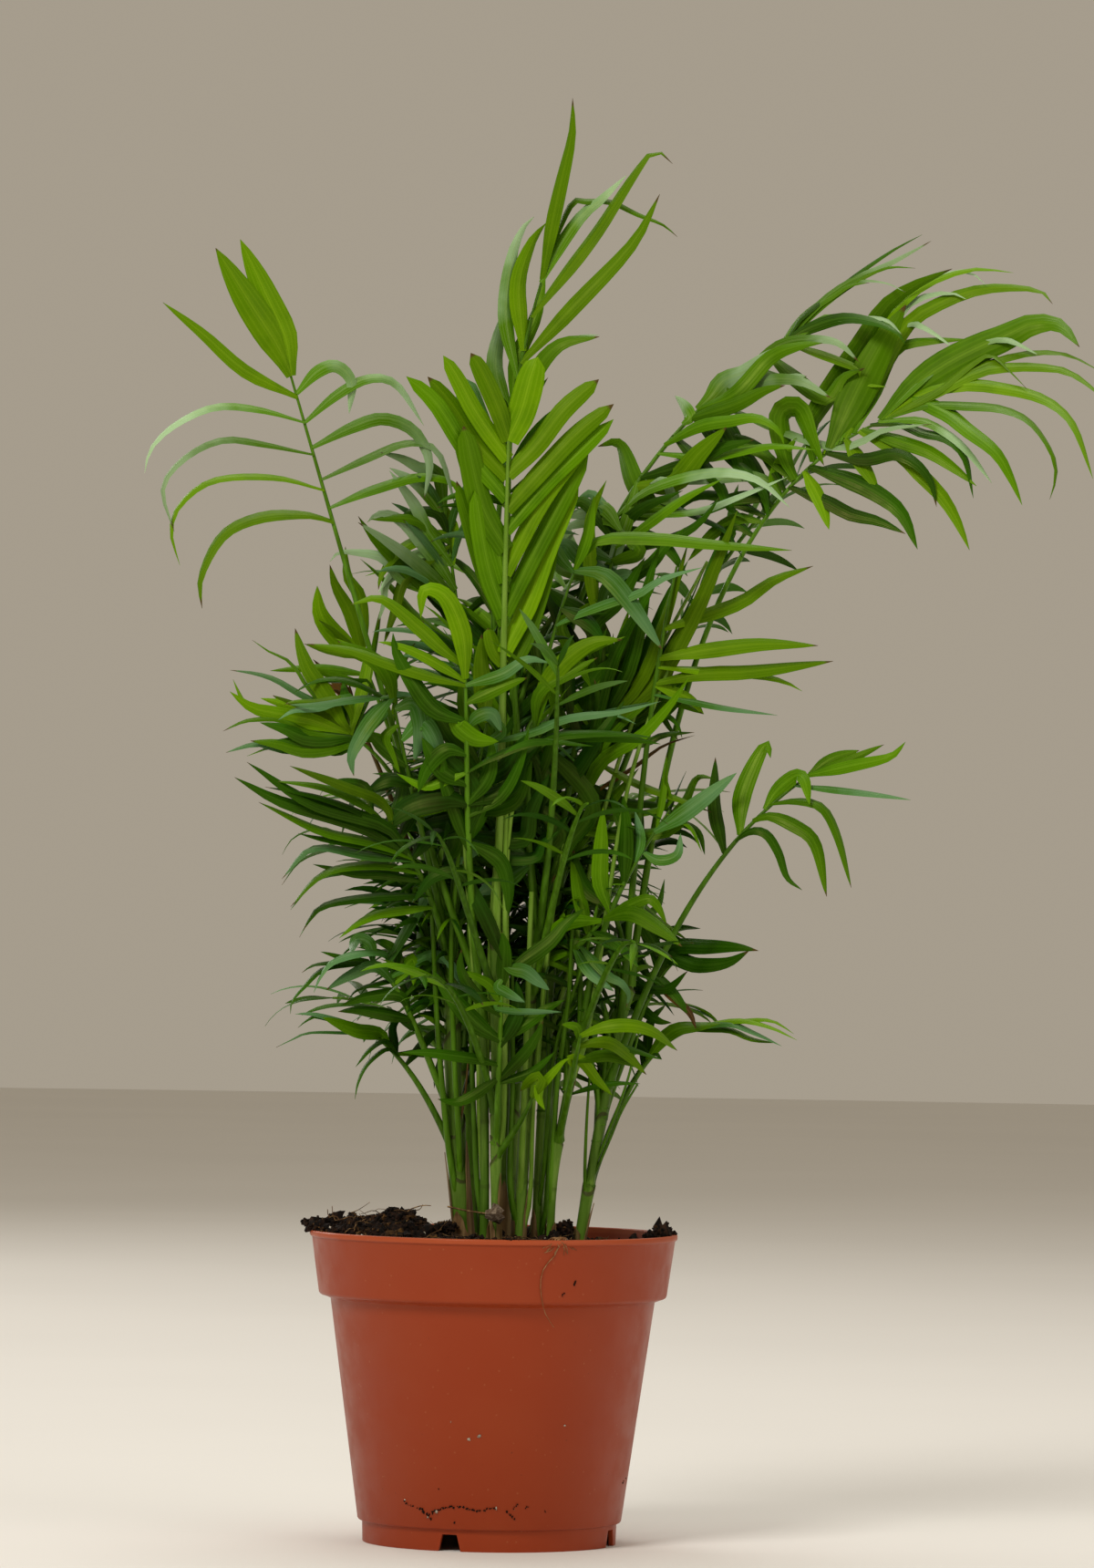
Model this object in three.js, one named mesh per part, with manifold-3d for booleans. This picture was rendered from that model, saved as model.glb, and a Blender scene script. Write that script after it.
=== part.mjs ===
// Parlour palm in a round nursery pot. Millimetres, +Z up.
// The origin is on the ground under the middle of the pot. -Y is the front, +X is the side that the
// tallest fronds sweep to. The plant is a clump of thin canes; each cane carries a few fronds, and a
// frond is a stalk that runs on as the rib of a thin blade.

import * as THREE from 'three';
import Module from 'manifold-3d';

const wasm = await Module();
wasm.setup();
const { Manifold } = wasm;

// ---------------------------------------------------------------- driving dimensions

const GAP = 0.3; // clear space between neighbouring solids
const TIDY = 0.15; // smallest feature left by a cut

const POT = {
  sides: 24,
  rim: 60, // outer radius of the lip
  lip: 2, // height of the lip ring
  height: 101,
  collarTop: 59.3,
  collarFoot: 56.8,
  collarBottom: 80,
  shoulder: 52.9, // body radius under the collar
  bodyFoot: 43,
  footRing: 41.3,
  footHeight: 7,
  wall: 1.5,
  edge: 0.4, // fall of the small ledges at the lip and above the foot ring
  collarRound: 1.3, // rounded lower edge of the collar
  floorBottom: 6.3,
  floorTop: 8,
  padRadius: 10, // flat centre of the underside, level with the foot ring
  slots: 4,
  slotTurn: -17.6, // degrees from the front to the first slot, towards +X
  slotFoot: 8,
  slotTop: 4.9,
  slotHeight: 5.4,
  slotDepth: 9,
  holes: 8,
  holeRadius: 3,
  holeCircle: 27,
};

const SOIL = {
  level: 98.5,
  clear: 0.5, // space left between the soil and the pot's wall
  edgeDrop: 1, // the edge lies this much lower and further in than the top
  edgeShare: 0.86, // height of the edge as a share of the collar's
  rings: 3,
  // heaps on the soil: x, y, height and spread
  heaps: [
    [-33, -8, 10, 13],
    [-48, -18, 4.5, 9],
    [-42, 16, 5, 12],
    [20, 24, 2.5, 12],
    [48, 8, 3, 7],
  ],
};

const CANE = { sides: 6, steps: 2, depth: 3 };
const STALK = { sides: 4, steps: 3, foot: 1.3, tip: 0.9, overlap: 0.04 };
const BLADE = { thick: 1.1, stations: 4, strides: 6, bentFrom: 45 };

// Canes: foot on the soil, the handle that bends them at half height, top, and the radius at each end.
const CANES = [
  { name: 'cane_left', foot: [-9, -8], handle: [-15, -9], top: [-15, -10, 192], radii: [3.6, 2.2] },
  { name: 'cane_left_thin', foot: [-3, -17], handle: [-3, -19], top: [-4.5, -21, 178], radii: [1.6, 1.2] },
  { name: 'cane_front', foot: [1, -18], handle: [0, -21], top: [-1, -25, 196], radii: [1.5, 1.2] },
  { name: 'cane_middle', foot: [8, -10], handle: [10, -11], top: [13, -13, 200], radii: [2.6, 1.8] },
  { name: 'cane_middle_right', foot: [14, -2], handle: [15, -3], top: [18, -4, 205], radii: [2.5, 1.7] },
  { name: 'cane_right_thin', foot: [18.5, -12], handle: [18, -14], top: [28, -16, 168], radii: [1.5, 1.1] },
  { name: 'cane_right', foot: [27.5, -3], handle: [34, -4], top: [43, -6, 182], radii: [2.4, 1.7] },
  { name: 'cane_core', foot: [3, 0], handle: [2, 0], top: [1, 1, 235], radii: [2.6, 1.8] },
  { name: 'cane_back_left', foot: [-7, 10], handle: [-10, 12], top: [-17, 18, 205], radii: [2.4, 1.8] },
  { name: 'cane_back', foot: [3, 13], handle: [2, 15], top: [-1, 22, 225], radii: [2.7, 1.9] },
  { name: 'cane_back_right', foot: [14, 11], handle: [17, 13], top: [27, 20, 215], radii: [2.4, 1.8] },
  { name: 'cane_far_back', foot: [5, 26], handle: [5, 33], top: [9, 48, 182], radii: [2, 1.5] },
];

// Fronds. cane and at: where the stalk leaves its cane, 1 being the top. path: the two handles and the
// end of the rib. bare: share of the stalk without leaflets. face: where the upper side looks. left and
// right, seen along the rib with the upper side up: the longest leaflet; its share at the rib's foot and
// tip; the angle from the rib at foot and tip; how far leaflets bend to the ground at foot and tip.
const PLACED = [
  { name: 'frond_left_arch', cane: 'cane_left_thin', at: 1, bare: 0.7, face: [0.2, -0.8, 0.5],
    path: [[-24, -27, 225], [-46, -24, 300], [-70, -20, 378]],
    left: [64, 0.72, 0.74, 74, 8, 90, 4], right: [50, 0.8, 0.9, 66, 0, 84, 4] },
  { name: 'frond_top', cane: 'cane_core', at: 1, bare: 0.78, face: [0.1, -0.9, 0.3],
    path: [[-4, 3, 290], [-8, 4, 350], [13, 4, 420]],
    left: [54, 0.9, 0.96, 14, 10, 10, 4], right: [74, 0.95, 0.6, 34, 12, 8, 40] },
  { name: 'frond_front_fan', cane: 'cane_front', at: 1, bare: 0.58, face: [0, -1, 0.1],
    path: [[1, -29, 240], [0, -36, 300], [1, -38, 357]],
    left: [66, 0.95, 0.5, 24, 20, 4, 4], right: [64, 0.9, 0.5, 26, 16, 4, 4] },
  { name: 'frond_behind_fan', cane: 'cane_middle', at: 1, bare: 0.74, face: [0, -0.6, 0.8],
    path: [[6, -12, 250], [-1, -12, 310], [2, -10, 366]],
    left: [30, 0.9, 0.7, 60, 34, 70, 50], right: [34, 0.9, 0.9, 58, 30, 60, 14] },
  { name: 'frond_right_sweep', cane: 'cane_right', at: 1, bare: 0.66, face: [-0.2, -0.75, 0.7],
    path: [[50, -9, 235], [60, -12, 350], [136, -16, 366]],
    left: [100, 0.5, 0.68, 50, 10, 50, 40], right: [60, 0.7, 1, 52, 8, 30, 76] },
  { name: 'frond_right_crown', cane: 'cane_middle_right', at: 1, bare: 0.56, face: [-0.4, -0.5, 0.8],
    path: [[8, -2, 262], [20, 4, 352], [92, 8, 394]],
    left: [46, 0.7, 1.15, 50, 6, 60, 4], right: [46, 0.9, 0.9, 46, 10, 70, 40] },
  { name: 'frond_right_shade', cane: 'cane_back_right', at: 1, bare: 0.55, face: [-0.3, 0.3, 0.9],
    path: [[40, 20, 255], [62, 22, 325], [100, 22, 352]],
    left: [40, 0.7, 0.7, 60, 22, 50, 50], right: [40, 0.7, 0.7, 60, 22, 50, 50] },
  { name: 'frond_right_level', cane: 'cane_right', at: 0.84, bare: 0.7, face: [0.2, -0.9, 0.3],
    path: [[44, -18, 220], [46, -24, 270], [56, -26, 318]],
    left: [18, 0.8, 0.8, 70, 40, 50, 30], right: [50, 0.9, 0.9, 76, 58, 8, 20] },
  { name: 'frond_right_low', cane: 'cane_right', at: 0.62, bare: 0.62, face: [-0.4, -0.7, 0.8],
    path: [[50, -18, 188], [66, -26, 228], [100, -26, 251]],
    left: [31, 1, 1.1, 44, 8, 6, 4], right: [38, 0.8, 0.95, 44, 14, 90, 30] },
  { name: 'frond_left_fan', cane: 'cane_left', at: 1, bare: 0.78, face: [0.3, -0.8, 0.6],
    path: [[-18, -20, 220], [-32, -32, 255], [-50, -36, 262]],
    left: [36, 0.8, 1, 24, 6, 24, 10], right: [38, 0.6, 1.05, 34, 14, 6, 10] },
  { name: 'frond_left_dark', cane: 'cane_left', at: 0.9, bare: 0.66, face: [0.2, -0.7, 0.7],
    path: [[-18, -24, 205], [-28, -40, 228], [-43, -44, 238]],
    left: [44, 0.9, 0.9, 36, 4, 24, 20], right: [44, 0.8, 1.05, 24, 8, 6, 6] },
  { name: 'frond_left_upright', cane: 'cane_back_left', at: 1, bare: 0.66, face: [0.3, -0.8, 0.4],
    path: [[-24, 14, 235], [-36, 4, 262], [-46, 0, 288]],
    left: [36, 1, 0.8, 56, 12, 14, 8], right: [26, 0.8, 1, 50, 4, 14, 6] },
  { name: 'frond_left_droop', cane: 'cane_left', at: 0.72, bare: 0.5, face: [0.2, -0.3, 0.9],
    path: [[-20, -6, 190], [-26, 0, 207], [-36, 4, 219]],
    left: [38, 0.9, 0.9, 40, 10, 60, 56], right: [34, 0.8, 0.9, 56, 14, 50, 56] },
  { name: 'frond_left_foot_high', cane: 'cane_left', at: 0.42, bare: 0.6, face: [0, -0.4, 0.9],
    path: [[-24, -16, 160], [-30, -26, 184], [-42, -30, 189]],
    left: [28, 0.8, 0.9, 60, 10, 50, 60], right: [26, 0.8, 0.8, 60, 14, 50, 60] },
  { name: 'frond_left_foot_low', cane: 'cane_left', at: 0.28, bare: 0.6, face: [0, -0.2, 1],
    path: [[-18, -12, 138], [-28, -14, 158], [-42, -12, 166]],
    left: [28, 0.8, 0.9, 60, 8, 50, 40], right: [26, 0.8, 0.9, 60, 10, 50, 40] },
  { name: 'frond_heart_left', cane: 'cane_left_thin', at: 0.9, bare: 0.66, face: [0, -0.8, 0.6],
    path: [[-12, -36, 222], [-10, -44, 260], [-12, -46, 286]],
    left: [46, 0.9, 0.6, 56, 20, 50, 60], right: [34, 0.9, 0.7, 64, 30, 50, 30] },
  { name: 'frond_left_shade', cane: 'cane_back_left', at: 0.92, bare: 0.62, face: [0.2, -0.6, 0.8],
    path: [[-12, 16, 240], [-10, 18, 285], [-20, 12, 334]],
    left: [34, 0.9, 0.7, 54, 20, 50, 40], right: [28, 0.9, 0.7, 60, 20, 60, 50] },
  { name: 'frond_right_inner', cane: 'cane_middle', at: 0.9, bare: 0.56, face: [-0.3, -0.6, 0.8],
    path: [[24, -8, 245], [26, -10, 290], [38, -8, 330]],
    left: [30, 0.8, 0.9, 54, 20, 50, 30], right: [34, 0.9, 0.8, 60, 24, 50, 70] },
  { name: 'frond_right_foot_dark', cane: 'cane_right', at: 0.5, bare: 0.6, face: [0, -0.3, 1],
    path: [[44, 2, 165], [50, 6, 184], [58, 6, 190]],
    left: [26, 0.7, 1, 50, 8, 20, 8], right: [26, 0.7, 1, 50, 8, 30, 8] },
  { name: 'frond_right_foot_fan', cane: 'cane_right', at: 0.24, bare: 0.66, face: [0, -0.3, 1],
    path: [[40, 6, 142], [46, 10, 160], [62, 10, 167]],
    left: [30, 0.5, 1, 40, 6, 20, 26], right: [32, 0.6, 1.05, 40, 6, 30, 30] },
  { name: 'frond_right_foot_front', cane: 'cane_right_thin', at: 0.5, bare: 0.5, face: [0, -0.3, 1],
    path: [[26, -26, 150], [28, -38, 164], [32, -48, 164]],
    left: [24, 0.8, 0.8, 70, 26, 50, 50], right: [28, 0.8, 0.8, 66, 26, 50, 50] },
  { name: 'frond_right_side', cane: 'cane_back_right', at: 0.8, bare: 0.58, face: [-0.2, -0.4, 0.9],
    path: [[34, 22, 205], [42, 28, 222], [54, 32, 236]],
    left: [24, 0.8, 1.1, 50, 6, 20, 4], right: [24, 0.8, 0.8, 50, 14, 70, 60] },
  { name: 'frond_dry', cane: 'cane_back_left', at: 0.84, bare: 0.82, face: [0.2, -0.8, 0.5],
    path: [[-26, 22, 215], [-38, 20, 250], [-50, 14, 273]],
    left: [14, 0.9, 0.9, 40, 16, 10, 10], right: [15, 0.9, 0.9, 30, 10, 10, 10] },
  { name: 'frond_sprout', cane: 'cane_front', at: 0.3, bare: 0.7, face: [0, -0.8, 0.6],
    path: [[6, -24, 134], [10, -28, 140], [12, -32, 143]],
    left: [12, 0.8, 0.8, 60, 40, 10, 10], right: [12, 0.8, 0.8, 60, 40, 10, 10] },
  { name: 'frond_front_low_left', cane: 'cane_front', at: 0.45, bare: 0.45, face: [0, 0, 1],
    path: [[-8, -36, 172], [-16, -54, 188], [-24, -74, 184]],
    left: [28, 0.8, 0.8, 66, 16, 50, 40], right: [28, 0.8, 0.8, 66, 16, 50, 40] },
  { name: 'frond_front_low_right', cane: 'cane_right_thin', at: 0.92, bare: 0.45, face: [0, 0, 1],
    path: [[34, -30, 186], [40, -52, 200], [44, -74, 196]],
    left: [28, 0.8, 0.8, 66, 16, 50, 40], right: [26, 0.8, 0.8, 66, 16, 50, 40] },
  { name: 'frond_front_left', cane: 'cane_front', at: 0.82, bare: 0.5, face: [0, 0, 1],
    path: [[-10, -42, 205], [-16, -64, 228], [-20, -86, 230]],
    left: [32, 0.8, 0.8, 66, 16, 50, 40], right: [32, 0.8, 0.8, 66, 16, 50, 40] },
  { name: 'frond_front_right', cane: 'cane_middle', at: 0.8, bare: 0.5, face: [0, 0, 1],
    path: [[18, -34, 212], [24, -58, 240], [28, -80, 240]],
    left: [32, 0.8, 0.8, 66, 16, 50, 40], right: [30, 0.8, 0.8, 66, 16, 50, 40] },
  { name: 'frond_front_high', cane: 'cane_middle', at: 0.96, bare: 0.6, face: [0, -0.3, 0.9],
    path: [[18, -28, 235], [18, -48, 270], [18, -66, 284]],
    left: [30, 0.8, 0.8, 62, 16, 40, 30], right: [30, 0.8, 0.8, 62, 16, 40, 30] },
];

// Fronds that fill the back, tier by tier. turn: compass angle of the first frond from +X towards +Y,
// step: angle to the next. out and rise: where the rib ends; the clump is deeper than it is wide.
const TIERS = [
  { name: 'frond_back_low', turn: 18, step: 35, at: 0.5, out: 74, rise: 176, bare: 0.5,
    canes: ['cane_back_right', 'cane_back_right', 'cane_far_back', 'cane_back', 'cane_back_left'],
    side: [32, 0.8, 0.8, 66, 16, 56, 46] },
  { name: 'frond_back_mid', turn: 38, step: 35, at: 0.94, out: 80, rise: 246, bare: 0.52,
    canes: ['cane_back_right', 'cane_far_back', 'cane_back', 'cane_back_left'],
    side: [40, 0.8, 0.8, 62, 16, 56, 40] },
  { name: 'frond_back_high', turn: 58, step: 30, at: 0.86, out: 62, rise: 318, bare: 0.6,
    canes: ['cane_core', 'cane_back', 'cane_back'], side: [36, 0.8, 0.8, 60, 18, 50, 40] },
];

const CLUMP = { squeeze: 0.8, back: 12 };

// Arch of a tier's frond: the two handles' shares of its reach and of its rise.
const ARCH = { near: 0.15, nearRise: 0.45, far: 0.55, farRise: 1.02 };

// Close sprays of small leaves between the canes, which no single frond stands for.
const SPRAYS = [
  { name: 'leaves_inner_left', middle: [-21, -1, 216], size: [13, 20, 42] },
  { name: 'leaves_inner_right', middle: [31, 4, 208], size: [13, 20, 44] },
];
const SPRAY = { rows: 6, columns: 8, lump: 0.13 };

const FINISH = {
  pot: { color: 0x9a4428, roughness: 0.42, metalness: 0 },
  soil: { color: 0x2b1d15, roughness: 0.95, metalness: 0 },
  cane: { color: 0x7f9a48, roughness: 0.45, metalness: 0 },
  frond: { color: 0x3f6b1f, roughness: 0.5, metalness: 0 },
  bright: { color: 0x6d9a2a, roughness: 0.5, metalness: 0 },
  dry: { color: 0x7a4a24, roughness: 0.8, metalness: 0 },
};
const BRIGHT = ['frond_front_fan', 'frond_left_fan', 'frond_top', 'frond_sprout', 'frond_left_upright'];
const DRY = ['frond_dry'];

// ---------------------------------------------------------------- small helpers

const DOWN = new THREE.Vector3(0, 0, -1);
const vec = (p) => new THREE.Vector3(...p);
const rad = THREE.MathUtils.degToRad;
const mix = THREE.MathUtils.lerp;

/** Closed solid from shared points and triangles. */
function solidOf(points, triangles) {
  const vertProperties = new Float32Array(points.flatMap((p) => [p.x, p.y, p.z]));
  const triVerts = new Uint32Array(triangles.flat());
  return new Manifold(new wasm.Mesh({ numProp: 3, vertProperties, triVerts }));
}

/** Closed solid from a three.js geometry whose seams lie point on point. */
function solidOfGeometry(geometry) {
  const place = geometry.getAttribute('position');
  const points = [];
  const known = new Map();
  const shared = [];
  for (let i = 0; i < place.count; i += 1) {
    const p = new THREE.Vector3().fromBufferAttribute(place, i);
    const key = p.toArray().map((v) => Math.round(v * 1e4)).join();
    if (!known.has(key)) {
      known.set(key, points.length);
      points.push(p);
    }
    shared.push(known.get(key));
  }
  const order = geometry.index ? [...geometry.index.array] : shared.map((_, i) => i);
  const triangles = [];
  for (let i = 0; i < order.length; i += 3) {
    const [a, b, c] = order.slice(i, i + 3).map((v) => shared[v]);
    if (a !== b && b !== c && c !== a) triangles.push([a, b, c]);
  }
  return solidOf(points, triangles);
}

/**
 * Closed skin over rows of points, each row a ring, with flat ends. The second half of a ring is split
 * along the opposite diagonal, so the two faces of a thin, twisted blade stay parallel.
 */
function skinOver(rings) {
  const count = rings[0].length;
  const points = rings.flat();
  const triangles = [];
  for (let r = 0; r + 1 < rings.length; r += 1) {
    for (let i = 0; i < count; i += 1) {
      const j = (i + 1) % count;
      const [a, b, c, d] = [r * count + i, r * count + j, (r + 1) * count + j, (r + 1) * count + i];
      if (i < count / 2) triangles.push([a, b, c], [a, c, d]);
      else triangles.push([a, b, d], [b, c, d]);
    }
  }
  const last = (rings.length - 1) * count;
  for (let i = 0; 2 * i + 2 < count; i += 1) {
    // The ends are laced from side to side, which suits flat rings as well as round ones.
    const [a, b, c, d] = [i, i + 1, count - 2 - i, count - 1 - i];
    if (b < c) {
      triangles.push([a, c, b], [a, d, c]);
      triangles.push([last + a, last + b, last + c], [last + a, last + c, last + d]);
    } else if (b === c) {
      triangles.push([a, d, b]);
      triangles.push([last + a, last + b, last + d]);
    }
  }
  return solidOf(points, triangles);
}

/** Round tapering limb along a curve, from share t0 to t1 of it, grown all over by extra. */
function limb(curve, t0, t1, radii, sides, steps, extra) {
  const rings = [];
  let side = new THREE.Vector3(1, 0, 0);
  for (let s = 0; s <= steps; s += 1) {
    const t = mix(t0, t1, s / steps);
    const along = curve.getTangent(t);
    const ends = (s === steps ? extra : 0) - (s === 0 ? extra : 0);
    const middle = curve.getPoint(t).addScaledVector(along, ends);
    side = side.addScaledVector(along, -side.dot(along)).normalize();
    const other = new THREE.Vector3().crossVectors(along, side);
    const radius = mix(radii[0], radii[1], t) + extra;
    const ring = [];
    for (let i = 0; i < sides; i += 1) {
      const angle = (2 * Math.PI * i) / sides;
      ring.push(middle.clone()
        .addScaledVector(side, radius * Math.cos(angle))
        .addScaledVector(other, radius * Math.sin(angle)));
    }
    rings.push(ring);
  }
  return skinOver(rings);
}

/** The largest connected piece of a solid, without slivers. */
function wholePiece(solid) {
  const pieces = solid.simplify(TIDY).decompose();
  return pieces.reduce((best, piece) => (piece.volume() > best.volume() ? piece : best));
}

/** A solid cut back from its neighbours. */
const cutFrom = (solid, neighbours) => wholePiece(solid.subtract(Manifold.union(neighbours)));

/** Named mesh for a solid. */
function meshOf(name, solid, finish) {
  const { vertProperties, triVerts } = solid.getMesh();
  const geometry = new THREE.BufferGeometry();
  geometry.setAttribute('position', new THREE.BufferAttribute(new Float32Array(vertProperties), 3));
  geometry.setIndex(new THREE.BufferAttribute(new Uint32Array(triVerts), 1));
  geometry.computeVertexNormals();
  const mesh = new THREE.Mesh(geometry, new THREE.MeshStandardMaterial(finish));
  mesh.name = name;
  return mesh;
}

/** Solid of revolution about Z from a closed outline of [radius, height] points. */
function turned(outline, sides) {
  const profile = outline.map(([r, z]) => new THREE.Vector2(r, z));
  return new THREE.LatheGeometry(profile, sides).rotateX(Math.PI / 2);
}

// ---------------------------------------------------------------- pot and soil

/** Wedge-shaped cutter for one slot of the foot ring, pointing out from the axis at an angle. */
function slotCutter(angle) {
  const outline = new THREE.Shape();
  outline.moveTo(-POT.slotFoot / 2, -1);
  outline.lineTo(POT.slotFoot / 2, -1);
  outline.lineTo(POT.slotTop / 2, POT.slotHeight);
  outline.lineTo(-POT.slotTop / 2, POT.slotHeight);
  outline.closePath();
  const geometry = new THREE.ExtrudeGeometry(outline, { depth: POT.slotDepth, bevelEnabled: false });
  geometry.rotateX(Math.PI / 2);
  geometry.translate(0, -(POT.footRing - POT.slotDepth / 2), 0);
  geometry.rotateZ(angle);
  return solidOfGeometry(geometry);
}

/** Drain hole cutter through the floor at an angle. */
function holeCutter(angle) {
  const geometry = new THREE.CylinderGeometry(POT.holeRadius, POT.holeRadius, 4 * POT.wall, 6);
  geometry.rotateX(Math.PI / 2);
  geometry.translate(0, POT.holeCircle, POT.floorTop);
  geometry.rotateZ(angle);
  return solidOfGeometry(geometry);
}

function makePot() {
  const { wall, edge, collarRound } = POT;
  const outline = [
    [0, 0],
    [POT.padRadius, 0],
    [POT.padRadius, POT.floorBottom],
    [POT.footRing - wall, POT.floorBottom],
    [POT.footRing - wall, 0],
    [POT.footRing, 0],
    [POT.footRing, POT.footHeight],
    [POT.bodyFoot, POT.footHeight + edge],
    [POT.shoulder, POT.collarBottom - 1],
    [POT.collarFoot - collarRound, POT.collarBottom],
    [POT.collarFoot, POT.collarBottom + collarRound],
    [POT.collarTop, POT.height - POT.lip],
    [POT.rim, POT.height - POT.lip + edge],
    [POT.rim, POT.height],
    [POT.collarTop - wall, POT.height],
    [POT.collarFoot - wall, POT.collarBottom + wall],
    [POT.shoulder - wall, POT.collarBottom - 1],
    [POT.bodyFoot - wall, POT.floorTop],
    [0, POT.floorTop],
  ];
  const body = solidOfGeometry(turned(outline, POT.sides));
  const cutters = [];
  for (let i = 0; i < POT.slots; i += 1) {
    cutters.push(slotCutter(rad(POT.slotTurn) + (2 * Math.PI * i) / POT.slots));
  }
  for (let i = 0; i < POT.holes; i += 1) {
    cutters.push(holeCutter((2 * Math.PI * (i + 0.5)) / POT.holes));
  }
  return wholePiece(body.subtract(Manifold.union(cutters)));
}

/** Height of the heaped soil above its level. */
function heapAt(x, y) {
  return SOIL.heaps.reduce((sum, [hx, hy, high, wide]) => {
    const away = Math.hypot(x - hx, y - hy) / wide;
    return sum + high * Math.exp(-away * away);
  }, 0);
}

function makeSoil(canes) {
  const inner = POT.wall + SOIL.clear;
  const edge = mix(POT.collarFoot, POT.collarTop, SOIL.edgeShare) - inner;
  const outline = [
    [0, POT.floorTop + GAP],
    [POT.bodyFoot - inner, POT.floorTop + GAP],
    [POT.shoulder - inner, POT.collarBottom + POT.wall],
    [POT.collarFoot - inner, POT.collarBottom + 2 * POT.wall],
    [edge, SOIL.level - SOIL.edgeDrop],
  ];
  for (let i = SOIL.rings; i >= 0; i -= 1) {
    outline.push([(edge * i) / SOIL.rings - (i === SOIL.rings ? SOIL.edgeDrop : 0), SOIL.level]);
  }
  const geometry = turned(outline, POT.sides);
  const place = geometry.getAttribute('position');
  for (let i = 0; i < place.count; i += 1) {
    if (place.getZ(i) > SOIL.level - SOIL.edgeDrop / 2) {
      place.setZ(i, place.getZ(i) + heapAt(place.getX(i), place.getY(i)));
    }
  }
  return cutFrom(solidOfGeometry(geometry), canes.map((cane) => cane.grown));
}

// ---------------------------------------------------------------- canes and fronds

/** Curve of a cane: it rises straight from the soil and leans over towards its top. */
function caneCurve({ foot, handle, top }) {
  const base = new THREE.Vector3(foot[0], foot[1], SOIL.level - CANE.depth);
  const middle = new THREE.Vector3(handle[0], handle[1], mix(base.z, top[2], 0.5));
  return new THREE.QuadraticBezierCurve3(base, middle, vec(top));
}

function makeCane(spec) {
  const curve = caneCurve(spec);
  const build = (extra) => limb(curve, 0, 1, spec.radii, CANE.sides, CANE.steps, extra);
  return { name: spec.name, curve, solid: build(0), grown: build(GAP) };
}

/** Turns a tier's rule into fronds like the placed ones. */
function frondsOfTier(tier, canes) {
  return tier.canes.map((caneName, i) => {
    const angle = rad(tier.turn + tier.step * i);
    const start = canes.get(caneName).curve.getPoint(tier.at);
    const end = new THREE.Vector3(tier.out * CLUMP.squeeze * Math.cos(angle),
      tier.out * Math.sin(angle) + CLUMP.back, tier.rise);
    const lift = end.z - start.z;
    const first = start.clone().lerp(end, ARCH.near).setZ(start.z + ARCH.nearRise * lift);
    const second = start.clone().lerp(end, ARCH.far).setZ(start.z + ARCH.farRise * lift);
    return { name: `${tier.name}_${i + 1}`, cane: caneName, at: tier.at,
      path: [first, second, end].map((p) => p.toArray()), bare: tier.bare, face: [0, 0, 1],
      left: tier.side, right: tier.side };
  });
}

/** Points at the middle and the tip of a leaflet that leaves the rib and bends to the ground. */
function leafletPath(foot, heading, length, droop) {
  const away = heading.clone().normalize();
  const fall = DOWN.clone().addScaledVector(away, -DOWN.dot(away));
  const bend = fall.length() > 1e-3 ? rad(droop) : 0;
  fall.normalize();
  const here = foot.clone();
  const marks = [];
  for (let i = 0; i < BLADE.strides; i += 1) {
    const angle = bend * ((i + 0.5) / BLADE.strides) ** 1.5;
    here.addScaledVector(away, (Math.cos(angle) * length) / BLADE.strides);
    here.addScaledVector(fall, (Math.sin(angle) * length) / BLADE.strides);
    marks.push(here.clone());
  }
  return [marks[BLADE.strides / 2 - 1], marks[BLADE.strides - 1]];
}

/** Length, angle from the rib and bend of the leaflets of one side, at share s of the rib. */
function leafletAt([longest, footShare, tipShare, footAngle, tipAngle, footBend, tipBend], s) {
  const share = mix(footShare, tipShare, s);
  return {
    length: longest * (share + Math.max(0, 1 - share) * Math.sin(Math.PI * s)),
    angle: rad(mix(footAngle, tipAngle, s * s)),
    bend: mix(footBend, tipBend, s),
  };
}

/** Finish of a frond by its name. */
function finishOf(name) {
  if (BRIGHT.includes(name)) return FINISH.bright;
  return DRY.includes(name) ? FINISH.dry : FINISH.frond;
}

/** Thin blade over the outline of a frond's leaflets. */
function blade(curve, spec, extra) {
  const rings = [];
  for (let r = 0; r <= BLADE.stations; r += 1) {
    const s = r / BLADE.stations;
    const t = mix(spec.bare, 1, s);
    const along = curve.getTangent(t);
    const ends = (r === BLADE.stations ? extra : 0) - (r === 0 ? extra : 0);
    const rib = curve.getPoint(t).addScaledVector(along, ends);
    const upper = vec(spec.face).addScaledVector(along, -vec(spec.face).dot(along)).normalize();
    const right = new THREE.Vector3().crossVectors(along, upper);
    const sides = [[spec.left, -1], [spec.right, 1]].map(([rule, way]) => {
      const { length, angle, bend } = leafletAt(rule, s);
      const heading = along.clone().multiplyScalar(Math.cos(angle))
        .addScaledVector(right, way * Math.sin(angle));
      return leafletPath(rib, heading, length + extra, bend);
    });
    const [[leftMiddle, leftTip], [rightMiddle, rightTip]] = sides;
    const bent = Math.max(spec.left[0], spec.right[0]) > BLADE.bentFrom;
    const across = bent ? [leftTip, leftMiddle, rib, rightMiddle, rightTip] : [leftTip, rib, rightTip];
    rings.push({ across, upper, along });
  }
  const half = BLADE.thick / 2 + extra;
  const skins = rings.map(({ across, upper, along }) => {
    const lifts = across.map((_, i) => {
      const span = across[Math.min(i + 1, across.length - 1)].clone().sub(across[Math.max(i - 1, 0)]);
      const normal = new THREE.Vector3().crossVectors(span, along).normalize();
      return normal.dot(upper) < 0 ? normal.negate() : normal;
    });
    const top = across.map((p, i) => p.clone().addScaledVector(lifts[i], half));
    const bottom = across.map((p, i) => p.clone().addScaledVector(lifts[i], -half));
    return [...top, ...bottom.reverse()];
  });
  return skinOver(skins);
}

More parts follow.
